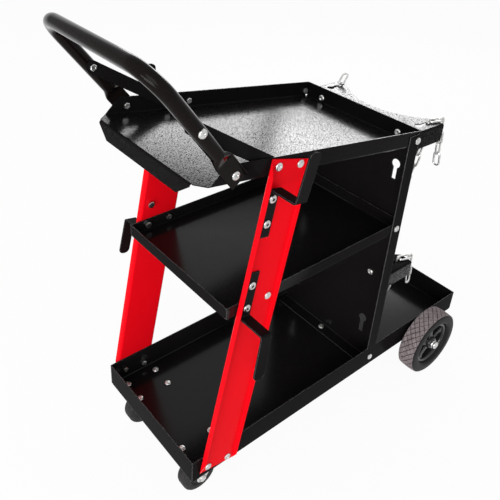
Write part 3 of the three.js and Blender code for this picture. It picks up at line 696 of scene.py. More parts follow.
@dataclass
class PanBolt:
    """A cross-recessed pan head bolt with its nut.

    Attributes:
        seat: Centre of the face under the head, millimetres.
        out: Direction that the head points in.
        grip: Clamped thickness.
        spin: Turn of the cross recess, degrees.
        head: Head radius.
        crown_fall: Share of the head's height that its crown loses towards the rim.
        rim_fall: Share of the height that the round of the rim takes.
        nut: Nut radius to its corners.
        nut_face: Radius of the nut's flat faces as a share of its corner radius.
        nut_bevel: Height of the bevel on the nut's corners.
        nut_recess: Depth of the shank's end in the nut.
        nut_mouth: Widening of the nut's hole at its end.
        nut_slack: Widening of the hole at the shank's end.
        crest_step: Fall of a thread's crest from the shank's radius.
        crest_width: Width of a thread's crest.
        thread_depth: Depth of the thread.
        recess: Length of a recess arm.
        recess_width: Half the width of an arm at its end.
        recess_flare: Growth of that width for each step towards the axis.
        recess_wall: Width of the recess's slanting walls.
        recess_reach: Distance at which the arms would run out to the top, in arm lengths.
        rings: Radii of the head's rings of points, as shares of its radius.
        sides: Faces round the head.
    """

    seat: Vector
    out: Vector
    grip: float
    spin: float
    head: float = 6.6
    head_height: float = 3.6
    crown_fall: float = 0.16
    rim_fall: float = 0.36
    shank: float = 3.0
    nut: float = 5.8
    nut_height: float = 4.6
    nut_face: float = 0.87
    nut_bevel: float = 0.5
    nut_recess: float = 0.5
    nut_mouth: float = 0.25
    nut_slack: float = 0.05
    crest_step: float = 0.02
    crest_width: float = 0.1
    thread_depth: float = 0.3
    recess: float = 3.4
    recess_width: float = 0.85
    recess_flare: float = 0.12
    recess_wall: float = 0.5
    recess_depth: float = 1.7
    recess_reach: float = 1.6
    rings: tuple[float, ...] = (0.06, 0.12, 0.18, 0.25, 0.33, 0.41, 0.48, 0.55, 0.65, 0.78, 0.9, 0.97, 1.0)
    sides: int = 40

    def place(self) -> Matrix:
        """Matrix from the bolt's own drawing, head up on Z, to the cart."""
        turn = UP.rotation_difference(self.out).to_matrix().to_4x4()
        return Matrix.Translation(self.seat) @ turn @ Matrix.Rotation(math.radians(self.spin), 4, "Z")

    def height(self, x: float, y: float) -> float:
        """Height of the head's skin above its seat.

        Args:
            x: Distance from the axis along one recess arm.
            y: Distance from the axis along the other.

        Returns:
            Height in millimetres.
        """
        share = min(1.0, math.hypot(x, y) / self.head)
        dome = self.head_height * (1.0 - self.crown_fall * share ** 2 - self.rim_fall * share ** 7)
        for a, b in ((x, y), (y, x)):
            arm = abs(a) - self.recess
            width = abs(b) - self.recess_width - self.recess_flare * max(0.0, -arm)
            inside = min(1.0, max(0.0, 0.5 - max(arm, width) / self.recess_wall))
            depth = self.recess_depth * inside * (1.0 - abs(a) / (self.recess * self.recess_reach))
            dome = min(dome, self.head_height - depth)
        return dome

    def build(self, shape: Shape, with_nut: bool = True) -> None:
        """Add the bolt to a shape.

        Args:
            shape: Shape to add to.
            with_nut: Whether the shank and nut are added.
        """
        place = self.place()
        sides = self.sides
        angles = [2 * math.pi * k / sides for k in range(sides)]
        circle = [(math.cos(angle), math.sin(angle)) for angle in angles]
        points: list[Point] = [(0.0, 0.0, self.height(0.0, 0.0))]
        for share in self.rings:
            r = self.head * share
            points += [(r * x, r * y, self.height(r * x, r * y)) for x, y in circle]
        points += [(self.head * x, self.head * y, 0.0) for x, y in circle]
        faces: list[Face] = [(0, 1 + k, 1 + (k + 1) % sides) for k in range(sides)]
        for ring in range(len(self.rings)):
            a = 1 + ring * sides
            b = a + sides
            for k in range(sides):
                j = (k + 1) % sides
                faces.append((a + k, b + k, b + j, a + j))
        foot = 1 + len(self.rings) * sides
        faces.append(tuple(range(foot, foot + sides))[::-1])
        shape.add(points, faces, 0, place)
        if with_nut:
            self.build_nut(shape, place)

    def build_nut(self, shape: Shape, place: Matrix) -> None:
        """Add the threaded shank and the nut.

        Args:
            shape: Shape to add to.
            place: The bolt's matrix.
        """
        face = -self.grip
        end = face - self.nut_height
        flat = self.nut * self.nut_face
        floor = end + self.nut_recess
        hexagon = [(flat, face), (self.nut, face - self.nut_bevel), (self.nut, end + self.nut_bevel),
                   (flat, end), (self.shank + self.nut_mouth, end), (self.shank + self.nut_slack, floor),
                   (0.0, floor)]
        shape.turn(hexagon[::-1], sides=6, place=place, closed=False)
        threads = int(max(2, self.grip))
        run = [(0.0, 0.0), (self.shank, 0.0)]
        for k in range(threads):
            top = -self.grip * k / threads
            run.append((self.shank - self.crest_step, top - self.crest_width))
            run.append((self.shank - self.thread_depth, top - 0.5 * self.grip / threads))
        run += [(self.shank, face), (0.0, face)]
        shape.turn(run[::-1], sides=24, place=place, closed=False)


@dataclass
class Fasteners:
    """All the bolts of the cart: the ones with a solid each, and the ones on hooks and caster plates.

    Attributes:
        nodes: Solids by name.
        across: Bolts that point to the sides of the cart.
        bracket_lean: Upward tilt of each cylinder bracket's bolts, degrees.
        leg_foot: X and Z of the foot of a leg's front edge.
        leg_lean: Lean of the legs, degrees.
        hook_row: Distance of the hook bolts from that edge.
        hook_bolts: Distances of the hook bolts up the leg.
        hook_grip: Thickness that each of them clamps.
        hook_seat: Distance of their seats from the middle of the cart.
        caster: X, distance from the middle, and seat height of the caster bolts' middle.
        caster_pattern: Half the spacing of the caster bolts along and across.
        hook_spins: Turn of the cross recess in each hook bolt, degrees.
        caster_spin: Turn of the recess in a caster bolt by its place along and across, degrees.
        cover: Clearance of a cover over the solid head or nut inside it.
        cover_recess: Depth of the shank's end in a cover nut.
        spin_step: Turn of the recess from one of the other bolts to the next, degrees.
    """

    nodes: dict[str, Piece]
    across: tuple[str, ...] = (
        "leg_top_front_bolt", "leg_top_rear_bolt", "leg_middle_bolt", "leg_bottom_front_bolt",
        "leg_bottom_rear_bolt", "handle_tab_bolt", "handle_brace_bolt", "panel_top_bolt", "panel_middle_bolt",
        "panel_foot_bolt",
    )
    bracket_lean: dict[str, float] = field(default_factory=lambda: {"upper": 8.66, "lower": 0.0})
    leg_foot: Pair = (-332.1, 103.0)
    leg_lean: float = 10.5
    hook_row: float = 17.0
    hook_bolts: dict[str, Pair] = field(
        default_factory=lambda: {"upper": (540.5, 499.0), "lower": (349.5, 391.0)})
    hook_grip: dict[str, Pair] = field(
        default_factory=lambda: {"upper": (5.3, 5.3), "lower": (7.1, 5.3)})
    hook_seat: float = 145.0
    caster: Point = (-286.2, 95.0, 86.8)
    caster_pattern: Pair = (33.3, 22.5)
    hook_spins: Pair = (20.0, 70.0)
    caster_spin: Pair = (15.0, 40.0)
    cover: float = 0.12
    cover_recess: float = 0.05
    spin_step: float = 37.0

    def measured(self, node: str, out: Vector, spin: float) -> PanBolt:
        """Read a bolt's seat and grip from its solid.

        Args:
            node: Name of the solid.
            out: Direction that its head points in.
            spin: Turn of the cross recess, degrees.

        Returns:
            The bolt.
        """
        bolt = PanBolt(Vector(), out, 0.0, spin)
        turn = out.to_track_quat("Z", "Y").to_matrix()
        local = [turn.transposed() @ (v.co / MM) for v in self.nodes[node].data.vertices]
        low = [min(p[i] for p in local) for i in range(3)]
        high = [max(p[i] for p in local) for i in range(3)]
        seat = high[2] - bolt.head_height
        bolt.seat = turn @ Vector(((low[0] + high[0]) / 2, (low[1] + high[1]) / 2, seat))
        bolt.grip = seat - low[2] - bolt.nut_height
        return bolt

    def dress_node(self, node: str, out: Vector, spin: float) -> None:
        """Put a detailed bolt where a solid bolt is.

        Args:
            node: Name of the solid.
            out: Direction that its head points in.
            spin: Turn of the cross recess, degrees.
        """
        shape = Shape()
        self.measured(node, out, spin).build(shape)
        set_in_place(shape.piece(node + "_look", [ZINC]), "frame", Slot.ZINC, node)

    def hook_point(self, up: float) -> Pair:
        """Where a bolt sits on a leg.

        Args:
            up: Distance up the leg.

        Returns:
            X and Z in millimetres.
        """
        lean = math.radians(self.leg_lean)
        x = self.leg_foot[0] + self.hook_row * math.cos(lean) + up * math.sin(lean)
        z = self.leg_foot[1] - self.hook_row * math.sin(lean) + up * math.cos(lean)
        return x, z

    def dress_hooks(self) -> None:
        """Cover the bolt heads and nuts that are one with the cable hooks.

        A cover nut's flats clear the corners of the nut inside it, however it is turned.
        """
        nut = PanBolt.nut / math.cos(math.pi / 6) + self.cover
        for place, rows in self.hook_bolts.items():
            for side in Side:
                shape = Shape()
                for count, up in enumerate(rows):
                    x, z = self.hook_point(up)
                    seat = Vector((x, side.value * (self.hook_seat + self.cover), z))
                    grip = self.hook_grip[place][count] + self.cover
                    bolt = PanBolt(
                        seat, Vector((0, side.value, 0)), grip, self.hook_spins[count],
                        head=PanBolt.head + self.cover, nut=nut,
                        nut_height=PanBolt.nut_height + self.cover, nut_recess=self.cover_recess,
                    )
                    bolt.build(shape)
                piece = shape.piece(f"{place}_hook_bolt_covers_{side.label}", [ZINC])
                set_in_place(piece, "frame", Slot.ZINC)

    def dress_casters(self) -> None:
        """Cover the bolt heads that are one with the caster plates."""
        x, y, z = self.caster
        for side in Side:
            shape = Shape()
            for sx in (-1, 1):
                for sy in (-1, 1):
                    seat = Vector((x + sx * self.caster_pattern[0],
                                   side.value * y + sy * self.caster_pattern[1], z + self.cover))
                    spin = self.caster_spin[0] * sx + self.caster_spin[1] * sy
                    bolt = PanBolt(seat, UP, 0.0, spin, head=PanBolt.head + self.cover)
                    bolt.build(shape, with_nut=False)
            set_in_place(shape.piece(f"caster_bolt_heads_{side.label}", [ZINC]), "frame", Slot.ZINC)

    def dress(self) -> None:
        """Build every bolt."""
        spin = 0.0
        for name in self.across:
            for side in Side:
                spin += self.spin_step
                self.dress_node(f"{name}_{side.label}", Vector((0, side.value, 0)), spin)
        for place, lean in self.bracket_lean.items():
            out = Vector((-math.cos(math.radians(lean)), 0, math.sin(math.radians(lean))))
            for side in Side:
                spin += self.spin_step
                self.dress_node(f"{place}_bracket_bolt_{side.label}", out, spin)
        self.dress_node("panel_floor_bolt", UP, spin)
        self.dress_hooks()
        self.dress_casters()


@dataclass
class HandleTube:
    """The bent push handle whose ends are pressed flat.

    Attributes:
        bolt: X and Z of the tab bolts.
        rise: Slope of the arms, degrees.
        reach: Distance from the tab bolt to the grip's middle line.
        half_span: Half the distance between the arms.
        radius: Tube radius.
        bend: Radius of the two bends.
        tab_beyond: Length of a tab beyond its bolt.
        tab_flat: Length of the flat part.
        tab_round: Length to where the tube is round again.
        tab_side: Distance of a tab from the middle of the cart.
        tab_square: How far the section turns from round to square at a tab.
        tab_lip: Depth of the first ring behind a tab's end.
        sides: Faces round the tube.
        press_steps: Rings from flat to round.
        bend_steps: Rings in a bend.
    """

    bolt: Pair = (-288.7, 692.5)
    rise: float = 52.5
    reach: float = 212.0
    half_span: float = 139.0
    radius: float = 11.0
    bend: float = 44.0
    tab_beyond: float = 15.0
    tab_flat: float = 45.0
    tab_round: float = 66.0
    tab_half_width: float = 16.0
    tab_half_thick: float = 1.5
    tab_side: float = 141.9
    tab_square: float = 0.62
    tab_lip: float = 0.4
    sides: int = 40
    press_steps: int = 12
    bend_steps: int = 18

    def along(self) -> Vector:
        """Direction up the arms."""
        angle = math.radians(self.rise)
        return Vector((-math.cos(angle), 0, math.sin(angle)))

    def arm(self, along: float, y: float) -> Vector:
        """A point on an arm's middle line."""
        return Vector((self.bolt[0], y, self.bolt[1])) + self.along() * along

    def ring(self, centre: Vector, out: Vector, flat: float) -> list[Point]:
        """One ring of the tube's skin.

        Args:
            centre: Middle of the ring.
            out: Direction that the pressed end is thin in.
            flat: How far the tube is pressed there, 0 to 1.

        Returns:
            The ring's points.
        """
        wide = self.along().cross(Vector((0, 1, 0)))
        a = self.radius + (self.tab_half_width - self.radius) * flat
        b = self.radius + (self.tab_half_thick - self.radius) * flat
        power = 1.0 - self.tab_square * flat
        points = []
        for k in range(self.sides):
            t = 2 * math.pi * k / self.sides
            c, s = math.cos(t), math.sin(t)
            x = math.copysign(abs(c) ** power, c) * a
            y = math.copysign(abs(s) ** power, s) * b
            points.append(tuple(centre + wide * x + out * y))
        return points

    def arm_rings(self, side: Side) -> list[list[Point]]:
        """Rings of one arm.

        Args:
            side: Side of the cart.

        Returns:
            The rings from the tab's end up to the round tube.
        """
        first = self.tab_flat - self.tab_beyond
        places = [(-self.tab_beyond, 1.0), (-self.tab_beyond + self.tab_lip, 1.0), (first, 1.0)]
        for k in range(1, self.press_steps + 1):
            share = k / self.press_steps
            along = first + share * (self.tab_round - self.tab_flat)
            places.append((along, (1 + math.cos(math.pi * share)) / 2))
        rings = []
        for along, flat in places:
            y = self.half_span + (self.tab_side - self.half_span) * flat
            rings.append(self.ring(self.arm(along, side.value * y), Vector((0, side.value, 0)), flat))
        return rings

    def bend_rings(self, side: Side) -> list[list[Point]]:
        """Rings of one bend.

        Args:
            side: Side of the cart.

        Returns:
            The rings from the arm to the grip.
        """
        rings = []
        for k in range(self.bend_steps + 1):
            t = k / self.bend_steps * math.pi / 2
            along = self.reach - self.bend + self.bend * math.sin(t)
            y = side.value * (self.half_span - self.bend + self.bend * math.cos(t))
            out = Vector((0, side.value * math.cos(t), 0)) + self.along() * math.sin(t)
            rings.append(self.ring(self.arm(along, y), out, 0.0))
        return rings

    def build(self) -> None:
        """Build the tube and put it where its solid is."""
        far, near = (self.arm_rings(side) + self.bend_rings(side) for side in (Side.FAR, Side.NEAR))
        rings = far + near[::-1]
        shape = Shape()
        shape.sweep(rings, closed=False)
        set_in_place(shape.piece("handle_tube_look", [GLOSS_TUBE]), "frame", Slot.TUBE, "handle_tube")


@dataclass
class ChainLink:
    """One welded chain link.

    Attributes:
        wire: Wire radius.
        ring: Radius of the round ends to the wire's middle.
        stretch: Half the straight length.
        weld_swell: Share that the wire swells by at the weld.
        weld_length: Length of the weld as a share of half the straight length.
        round_steps: Steps round an end.
        side_steps: Steps along a straight side.
        sides: Faces round the wire.
    """

    wire: float = 2.0
    ring: float = 6.0
    stretch: float = 8.375
    weld_swell: float = 0.16
    weld_length: float = 0.12
    round_steps: int = 10
    side_steps: int = 6
    sides: int = 10

    def path(self) -> list[tuple[Vector, Vector, float]]:
        """Follow the wire round the link.

        Returns:
            Points on the wire's middle line, outward directions there, and wire swell.
        """
        found = []
        for end in (1, -1):
            for k in range(self.round_steps + 1):
                t = -math.pi / 2 + math.pi * k / self.round_steps
                out = Vector((math.cos(t) * end, math.sin(t) * end, 0))
                found.append((Vector((self.stretch * end, 0, 0)) + out * self.ring, out, 1.0))
            for k in range(1, self.side_steps):
                share = 1 - 2 * k / self.side_steps
                weld = self.weld_swell * math.exp(-(share / self.weld_length) ** 2)
                swell = 1.0 + (weld if end > 0 else 0.0)
                out = Vector((0, end, 0))
                found.append((Vector((self.stretch * share * end, self.ring * end, 0)), out, swell))
        return found

    def build(self, shape: Shape, centre: Vector, along: Vector, flat: Vector) -> None:
        """Add one link.

        Args:
            shape: Shape to add to.
            centre: Middle of the link.
            along: Direction of its length.
            flat: Direction that the link is thin in, roughly.
        """
        a = along.normalized()
        c = (flat - a * flat.dot(a)).normalized()
        b = c.cross(a)
        turn = Matrix((a, b, c)).transposed()
        rings = []
        for point, out, swell in self.path():
            ring = []
            for k in range(self.sides):
                t = 2 * math.pi * k / self.sides
                local = point + (out * math.cos(t) + UP * math.sin(t)) * self.wire * swell
                ring.append(tuple(centre + turn @ local))
            rings.append(ring)
        shape.sweep(rings, closed=True)


@dataclass
class ChainSet:
    """A cylinder bracket's safety chain: the hanging loop, the links at its slots and their tail.

    Attributes:
        place: Word that its node names start with.
        upright: X and Z of the middle of the upright links in the slots.
        count: Links in the hanging loop.
        lifts: Slope of the lying link on each side, degrees.
        tail: Links that hang from the near lying link.
        turn: Outward turn of the lying links, degrees.
        lean: Rearward lean of the tail for each step down.
        slot_y: Distance of the slots from the middle of the cart.
        gap: Rise of the loop's ends that keeps them clear of the links in the slots.
        bite: Depth that links of one body share where they touch.
        link: Shape of every link.
    """

    place: str
    upright: Pair
    count: int
    lifts: dict[Side, float]
    tail: int
    turn: float = 17.0
    lean: float = 0.15
    slot_y: float = 110.0
    gap: float = 0.3
    bite: float = 0.25
    link: ChainLink = field(default_factory=ChainLink)

    @property
    def reach(self) -> float:
        """Distance from a link's middle to the middle of its end wire, without the bite."""
        return self.link.stretch + self.bite / 2 + self.link.ring

    @property
    def pitch(self) -> float:
        """Distance between the middles of two links."""
        return 2 * (self.reach - self.link.wire)

    @staticmethod
    def height(y: float, size: float) -> float:
        """Height of the hanging curve above its lowest point.

        Args:
            y: Distance from the middle.
            size: Catenary size.

        Returns:
            Height in millimetres.
        """
        return size * (math.cosh(y / size) - 1)

    def steps(self, size: float) -> list[Pair]:
        """Joint points of half the loop, a pitch apart.

        Args:
            size: Catenary size.

        Returns:
            Y and height of each joint.
        """
        y = self.pitch / 2
        points = [(y, self.height(y, size))]
        for _ in range((self.count - 1) // 2):
            start = points[-1]
            low, high = start[0], start[0] + self.pitch
            for _ in range(HALVINGS):
                y = (low + high) / 2
                if math.hypot(y - start[0], self.height(y, size) - start[1]) < self.pitch:
                    low = y
                else:
                    high = y
            points.append((low, self.height(low, size)))
        return points

    def joints(self) -> list[Pair]:
        """Find the curve whose last joint meets the slots.

        Returns:
            Y and height of each joint from the near to the far end, heights below the ends.
        """
        small, large = 2.0, self.slot_y
        for _ in range(HALVINGS):
            size = (small + large) / 2
            if self.steps(size)[-1][1] < self.height(self.slot_y, size):
                small = size
            else:
                large = size
        drop = self.height(self.slot_y, small)
        right = [(y, z - drop) for y, z in self.steps(small)]
        return [(-y, z) for y, z in reversed(right)] + right

    def build_loop(self) -> None:
        """Build the hanging loop."""
        shape = Shape()
        points = self.joints()
        hang = self.upright[1] - self.pitch / 2 + self.gap
        for i in range(self.count):
            (y0, z0), (y1, z1) = points[i], points[i + 1]
            centre = Vector((self.upright[0], (y0 + y1) / 2, hang + (z0 + z1) / 2))
            along = Vector((0, y1 - y0, z1 - z0))
            flat = Vector((1, 0, 0)) if i % 2 == 0 else Vector((0, -along.z, along.y))
            self.link.build(shape, centre, along, flat)
        name = f"{self.place}_chain"
        set_in_place(shape.piece(name + "_look", [ZINC]), name, Slot.ZINC, name)

    def build_slot(self, side: Side) -> None:
        """Build the links at one slot.

        Args:
            side: Side of the cart.
        """
        shape = Shape()
        cross = 2 * self.link.wire - 3 * self.bite
        upright = Vector((self.upright[0], side.value * self.slot_y, self.upright[1]))
        self.link.build(shape, upright, UP, Vector((0, 1, 0)))
        lift, turn = math.radians(self.lifts[side]), math.radians(self.turn)
        level = math.cos(lift)
        aim = Vector((level * math.cos(turn), side.value * level * math.sin(turn), math.sin(lift)))
        start = upright + UP * (self.reach - cross)
        self.link.build(shape, start + aim * self.reach, aim, Vector((-aim.z, 0, aim.x)))
        hang = start + aim * (2 * self.reach) + UP * cross
        down = Vector((self.lean, 0, -1)).normalized()
        for i in range(self.tail if side is Side.NEAR else 0):
            flat = Vector((0, 1, 0)) if i % 2 == 0 else Vector((1, 0, 0))
            self.link.build(shape, hang + down * (self.reach + i * (self.pitch + self.bite)), down, flat)
        name = f"{self.place}_slot_links_{side.label}"
        set_in_place(shape.piece(name + "_look", [ZINC]), "frame", Slot.ZINC, name)

    def build(self) -> None:
        """Build the loop and the links at both slots."""
        self.build_loop()
        for side in Side:
            self.build_slot(side)


@dataclass
class RearWheel:
    """A rear wheel: block tread tyre, spoked hub and axle cap.

    Attributes:
        side: Side of the cart.
        centre: X of the axle and its height.
        radius: Outer radius.
        inner: Distance of the tyre's inner face from the middle of the cart.
        width: Tyre width.
        seat: Radius of the tyre's seat on the rim.
        seat_gap: Gap between the seat and the rim.
        blocks: Tread blocks in one row.
        rows: Rows of blocks.
        tread_half: Half the width of the tread, where the outer rows are cut off.
        row_pitch: Distance between two rows.
        tread: Height of the blocks.
        crown: Fall of the tread's radius from the middle to the walls.
        block_steps: Inset and depth of the foot, the shoulder and the top of a block.
        block_least: Least share of a block that an inset leaves.
        boss: Height of the boss over the middle of the wheel.
        cap_gap: Gap between the boss and the axle cap.
        spokes: Spokes of the hub.
        spoke_turn: Turn of the first spoke, degrees.
        spoke_soft: Bevel of the spokes.
        spoke: Radius, half breadth, top and bottom of a spoke from the boss outwards.
    """

    side: Side
    centre: Pair = (304.3, 77.0)
    radius: float = 77.0
    inner: float = 143.5
    width: float = 43.0
    seat: float = 52.0
    seat_gap: float = 0.3
    tread: float = 1.5
    tread_half: float = 18.8
    blocks: int = 30
    rows: int = 7
    row_pitch: float = 6.3
    crown: float = 1.8
    block_steps: tuple[Pair, ...] = ((0.55, -1.8), (0.95, -0.35), (1.45, 0.0))
    block_least: float = 0.2
    boss: float = 18.0
    cap_gap: float = 0.3
    spokes: int = 5
    spoke_turn: float = 18.0
    spoke_soft: float = 1.5
    spoke: tuple[tuple[float, float, float, float], ...] = (
        (11.0, 8.2, 12.0, -9.0), (20.0, 6.2, 9.6, -8.0), (32.0, 5.2, 8.6, -8.0), (40.0, 6.6, 9.4, -9.0),
        (44.5, 9.0, 10.4, -10.0),
    )

    def place(self) -> Matrix:
        """Set the wheel's own drawing, outer face up on Z, in the cart.

        Returns:
            The matrix from one to the other.
        """
        y = self.side.value * (self.inner + self.width / 2)
        turn = Matrix.Rotation(math.radians(-90.0 * self.side.value), 4, "X")
        return Matrix.Translation((self.centre[0], y, self.centre[1])) @ turn

    def tread_radius(self, across: float) -> float:
        """Outer radius of the tread at a distance across the tyre."""
        return self.radius - self.crown * (2 * across / self.width) ** 2

    def diamond(self, across: float, length: float, breadth: float) -> list[Pair]:
        """Outline of one tread block, cut off at the shoulders.

        Args:
            across: Place of its middle across the tyre.
            length: Length along the tread.
            breadth: Breadth across it.

        Returns:
            Distances along and across the tread, empty where nothing is left.
        """
        long, wide = length / 2, breadth / 2
        corners = [(-long, across), (0.0, across - wide), (long, across), (0.0, across + wide)]
        for sign in (1, -1):
            kept = []
            for i, (u, w) in enumerate(corners):
                last_u, last_w = corners[i - 1]
                inside = sign * w <= self.tread_half
                if inside != (sign * last_w <= self.tread_half):
                    share = (sign * self.tread_half - last_w) / (w - last_w)
                    kept.append((last_u + share * (u - last_u), sign * self.tread_half))
                if inside:
                    kept.append((u, w))
            corners = kept
        return corners

    def build_block(self, shape: Shape, angle: float, outline: list[Pair]) -> None:
        """Add one tread block.

        Args:
            shape: Shape to add to.
            angle: Place round the tyre, radians.
            outline: Its outline along and across the tread.
        """
        middle = [sum(p[i] for p in outline) / len(outline) for i in range(2)]
        size = max(abs(p[1] - middle[1]) for p in outline)
        points: list[Point] = []
        for inset, depth in self.block_steps:
            scale = max(self.block_least, 1.0 - inset / size)
            for u, w in outline:
                across = middle[1] + (w - middle[1]) * scale
                r = self.tread_radius(across) + depth
                t = angle + (middle[0] + (u - middle[0]) * scale) / self.radius
                points.append((r * math.cos(t), r * math.sin(t), across))
        count = len(outline)
        faces: list[Face] = []
        tops = len(self.block_steps) - 1
        for ring in range(tops):
            a = ring * count
            b = a + count
            for i in range(count):
                j = (i + 1) % count
                faces.append((a + i, a + j, b + j, b + i))
        faces.append(tuple(range(tops * count, (tops + 1) * count)))
        shape.add(points, faces, 1, self.place())

    def build_tyre(self) -> None:
        """Build the tyre with its lattice of blocks."""
        shape = Shape()
        h = self.width / 2
        edge = self.tread_half
        foot = self.tread_radius(edge) - self.tread
        seat = self.seat
        profile = [(seat, -h + 5), (seat + 1.5, -h + 2.2), (seat + 4, -h + 0.6), (seat + 7, -h),
                   (seat + 12, -h), (seat + 14, -h + 0.5), (foot - 5.5, -h + 0.3), (foot - 2.4, -h + 1.0),
                   (foot - 0.6, -edge - 0.8), (foot, -edge)]
        across = [edge * share for share in (-0.66, -0.33, 0.0, 0.33, 0.66)]
        crown = [(self.tread_radius(y) - self.tread, y) for y in across]
        outer = [(r, -y) for r, y in reversed(profile)]
        shape.turn(profile + crown + outer, sides=90, place=self.place())
        step = 2 * math.pi / self.blocks
        reach = self.rows // 2
        for row in range(-reach, reach + 1):
            outline = self.diamond(row * self.row_pitch, self.radius * step, 2 * self.row_pitch)
            if len(outline) < 3:
                continue
            for k in range(self.blocks):
                self.build_block(shape, (k + (0.5 if row % 2 else 0.0)) * step, outline)
        piece = shape.piece(f"rear_tyre_{self.side.label}_look", [WALL_RUBBER, TREAD_RUBBER])
        set_in_place(piece, f"rear_wheel_{self.side.label}", Slot.TYRE, f"rear_tyre_{self.side.label}")

    def build_hub(self) -> None:
        """Build the hub: rim, spokes and boss."""
        shape = Shape()
        place = self.place()
        rim = self.seat - self.seat_gap
        ring = [(43.0, -13.0), (rim, -13.0), (rim, 13.0), (rim - 1.0, 14.4), (rim - 3.0, 15.0), (45.5, 14.2),
                (44.0, 12.4), (43.0, 8.0)]
        shape.turn(ring, sides=72, place=place)
        boss = [(6.4, -17.0), (14.0, -17.0), (15.5, -9.0), (15.5, 8.0), (14.0, self.boss - 3.0),
                (12.6, self.boss - 0.8), (11.0, self.boss), (6.4, self.boss)]
        shape.turn(boss, sides=40, place=place)
        soft = self.spoke_soft
        for k in range(self.spokes):
            angle = 360.0 / self.spokes * k + self.spoke_turn
            turn = place @ Matrix.Rotation(math.radians(angle), 4, "Z")
            rings = []
            for r, half, top, bottom in self.spoke:
                outline = [(-half, bottom + soft), (-half, top - soft), (-half + soft, top),
                           (half - soft, top), (half, top - soft), (half, bottom + soft),
                           (half - soft, bottom), (-half + soft, bottom)]
                rings.append([tuple(turn @ Vector((r, across, up))) for across, up in outline])
            shape.sweep(rings, closed=False)
        piece = shape.piece(f"rear_hub_{self.side.label}_look", [HUB_BLACK], bevel=0.4)
        set_in_place(piece, f"rear_wheel_{self.side.label}", Slot.HUB, f"rear_hub_{self.side.label}")

    def build_cap(self) -> None:
        """Build the push-on cap at the axle's end."""
        shape = Shape()
        foot = self.boss + self.cap_gap
        dome = [(6.3, 0.0), (10.0, 0.0), (10.0, 1.6), (9.6, 2.4), (8.7, 3.2), (8.6, 6.4), (8.2, 7.8),
                (7.0, 8.9), (4.6, 9.5), (0.0, 9.6)]
        shape.turn([(r, foot + up) for r, up in dome], sides=40, place=self.place(), closed=False)
        piece = shape.piece(f"axle_cap_{self.side.label}_look", [ZINC])
        set_in_place(piece, "frame", Slot.ZINC, f"axle_cap_{self.side.label}")

    def build(self) -> None:
        """Build the whole wheel."""
        self.build_tyre()
        self.build_hub()
        self.build_cap()


@dataclass
class CasterWheel:
    """A caster's wheel.

    Attributes:
        side: Side of the cart.
        centre: X of its axle, distance from the middle of the cart, and height.
        width: Wheel width.
        bore: Radius of the bore.
    """

    side: Side
    centre: Point = (-302.2, 95.0, 35.5)
    width: float = 28.0
    bore: float = 4.3

    def build(self) -> None:
        """Build the wheel with its round tread and dished sides."""
        shape = Shape()
        h = self.width / 2
        r = self.centre[2]
        half = [(self.bore, h - 3), (12.0, h - 3), (13.0, h - 2.2), (18.0, h - 2.2), (19.2, h - 3.0),
                (20.4, h - 2.2), (21.4, h - 0.6), (22.6, h), (r - 5.0, h), (r - 2.4, h - 1.2),
                (r - 0.8, h - 3.2), (r, h - 6.5)]
        profile = half + [(radius, -y) for radius, y in reversed(half)]
        place = (Matrix.Translation((self.centre[0], self.side.value * self.centre[1], r))
                 @ Matrix.Rotation(math.radians(-90.0), 4, "X"))
        shape.turn(profile[::-1], sides=56, place=place)
        name = f"caster_wheel_{self.side.label}"
        set_in_place(shape.piece(name + "_look", [CASTER_RUBBER]), name, Slot.CASTER, name)


@dataclass
class Lamp:
    """A soft lamp.

    Attributes:
        name: Name of the lamp.
        place: Where it hangs, metres.
        aim: What it points at, metres.
        size: Width and height, metres.
        power: Watts.
    """

    name: str
    place: Point
    aim: Point
    size: Pair
    power: float

    def build(self) -> None:
        """Hang the lamp."""
        data = bpy.data.lights.new(self.name, "AREA")
        data.shape = "RECTANGLE"
        data.size, data.size_y = self.size
        data.energy = self.power
        lamp = bpy.data.objects.new(self.name, data)
        lamp.location = self.place
        toward = Vector(self.aim) - Vector(self.place)
        lamp.rotation_euler = toward.to_track_quat("-Z", "Y").to_euler()
        bpy.context.scene.collection.objects.link(lamp)


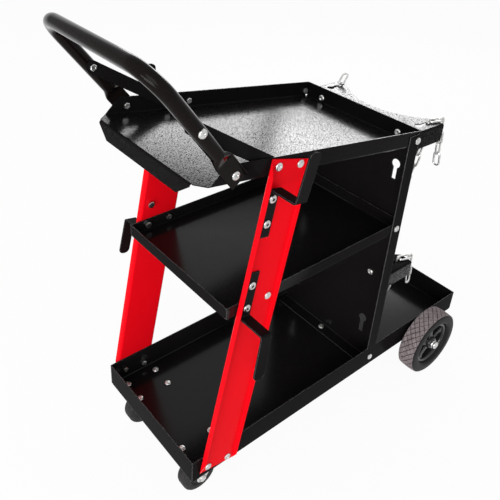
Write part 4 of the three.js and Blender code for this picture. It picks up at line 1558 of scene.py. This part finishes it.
@dataclass
class Studio:
    """The floor, the light and the camera.

    Attributes:
        eye: Camera place, metres.
        azimuth: Camera azimuth, degrees.
        elevation: Camera elevation, degrees.
        roll: Camera roll, degrees.
        sensor: Sensor width, millimetres.
        lens: Focal length, millimetres.
        shift: Horizontal and vertical shift of the frame.
        clip: Nearest and farthest distance that the camera sees, metres.
        floor_half: Half the side of the floor, metres.
        floor_drop: Depth of the floor under the wheels, metres.
        ambient: Strength of the room's light on the cart.
        lamps: Soft lamps.
    """

    eye: Point = (-0.7773, -0.7026, 1.1138)
    azimuth: float = -39.75
    elevation: float = 29.27
    roll: float = 2.63
    sensor: float = 36.0
    lens: float = 45.9
    shift: Pair = (0.0556, -0.1567)
    clip: Pair = (0.02, 100.0)
    floor_half: float = 30.0
    floor_drop: float = 0.0004
    ambient: float = 0.55
    lamps: tuple[Lamp, ...] = (
        Lamp("key_box", (-2.6, -2.7, 2.4), (0.0, 0.0, 0.4), (2.4, 2.0), 55.0),
        Lamp("front_fill", (-2.6, -1.0, 0.6), (-0.25, 0.1, 0.35), (1.6, 1.0), 46.0),
        Lamp("back_box", (2.15, 1.39, 1.44), (0.2, 0.0, 0.63), (0.8, 0.6), 8.5),
        Lamp("low_back_box", (1.47, 1.99, 1.33), (-0.2, 0.0, 0.68), (0.8, 0.5), 3.8),
    )

    def build_camera(self) -> None:
        """Set the camera at the photograph's place."""
        a, e, r = (math.radians(v) for v in (self.azimuth, self.elevation, self.roll))
        back = Vector((math.sin(a) * math.cos(e), -math.cos(a) * math.cos(e), math.sin(e)))
        right = Vector((math.cos(a), math.sin(a), 0.0))
        up = back.cross(right)
        rolled_right = right * math.cos(r) + up * math.sin(r)
        rolled_up = up * math.cos(r) - right * math.sin(r)
        data = bpy.data.cameras.new("camera")
        data.sensor_width = self.sensor
        data.lens = self.lens
        data.shift_x, data.shift_y = self.shift
        data.clip_start, data.clip_end = self.clip
        camera = bpy.data.objects.new("camera", data)
        matrix = Matrix((rolled_right, rolled_up, back)).transposed().to_4x4()
        matrix.translation = Vector(self.eye)
        camera.matrix_world = matrix
        bpy.context.scene.collection.objects.link(camera)
        bpy.context.scene.camera = camera

    def build_floor(self) -> None:
        """Lay the pale floor."""
        half = self.floor_half
        corners = [(-half, -half, 0), (half, -half, 0), (half, half, 0), (-half, half, 0)]
        mesh = bpy.data.meshes.new("studio_floor")
        mesh.from_pydata(corners, [], [(0, 1, 2, 3)])
        mesh.materials.append(FLOOR_PAPER.material())
        floor = bpy.data.objects.new("studio_floor", mesh)
        bpy.context.scene.collection.objects.link(floor)
        floor.location.z = -self.floor_drop

    def build_room(self) -> None:
        """Set the room's light, white where it is seen or mirrored."""
        world = bpy.data.worlds.new("studio_room")
        bpy.context.scene.world = world
        s = Sketch(world)
        light = s.add("Background", Color=WHITE, Strength=self.ambient)
        white = s.add("Background", Color=WHITE, Strength=1.0)
        s.finish(s.mix(s.shown(), light, white))

    def build(self) -> None:
        """Build the whole studio."""
        self.build_camera()
        self.build_floor()
        self.build_room()
        for lamp in self.lamps:
            lamp.build()
        bpy.context.scene.view_settings.view_transform = "Standard"


def main() -> None:
    """Build the cart's looks in order."""
    logging.basicConfig(level=logging.INFO, format="%(name)s: %(message)s")
    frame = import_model()
    nodes = frame["nodes"]
    Studio().build()
    SheetWork(nodes).dress()
    Fasteners(nodes).dress()
    HandleTube().build()
    ChainSet("upper", (208.343, 621.325), 23, {Side.FAR: 35.0, Side.NEAR: -1.5}, 4).build()
    ChainSet("lower", (206.1, 305.55), 19, {Side.FAR: 0.0, Side.NEAR: 0.0}, 3).build()
    for side in Side:
        RearWheel(side).build()
        CasterWheel(side).build()


if __name__ == "__main__":
    main()
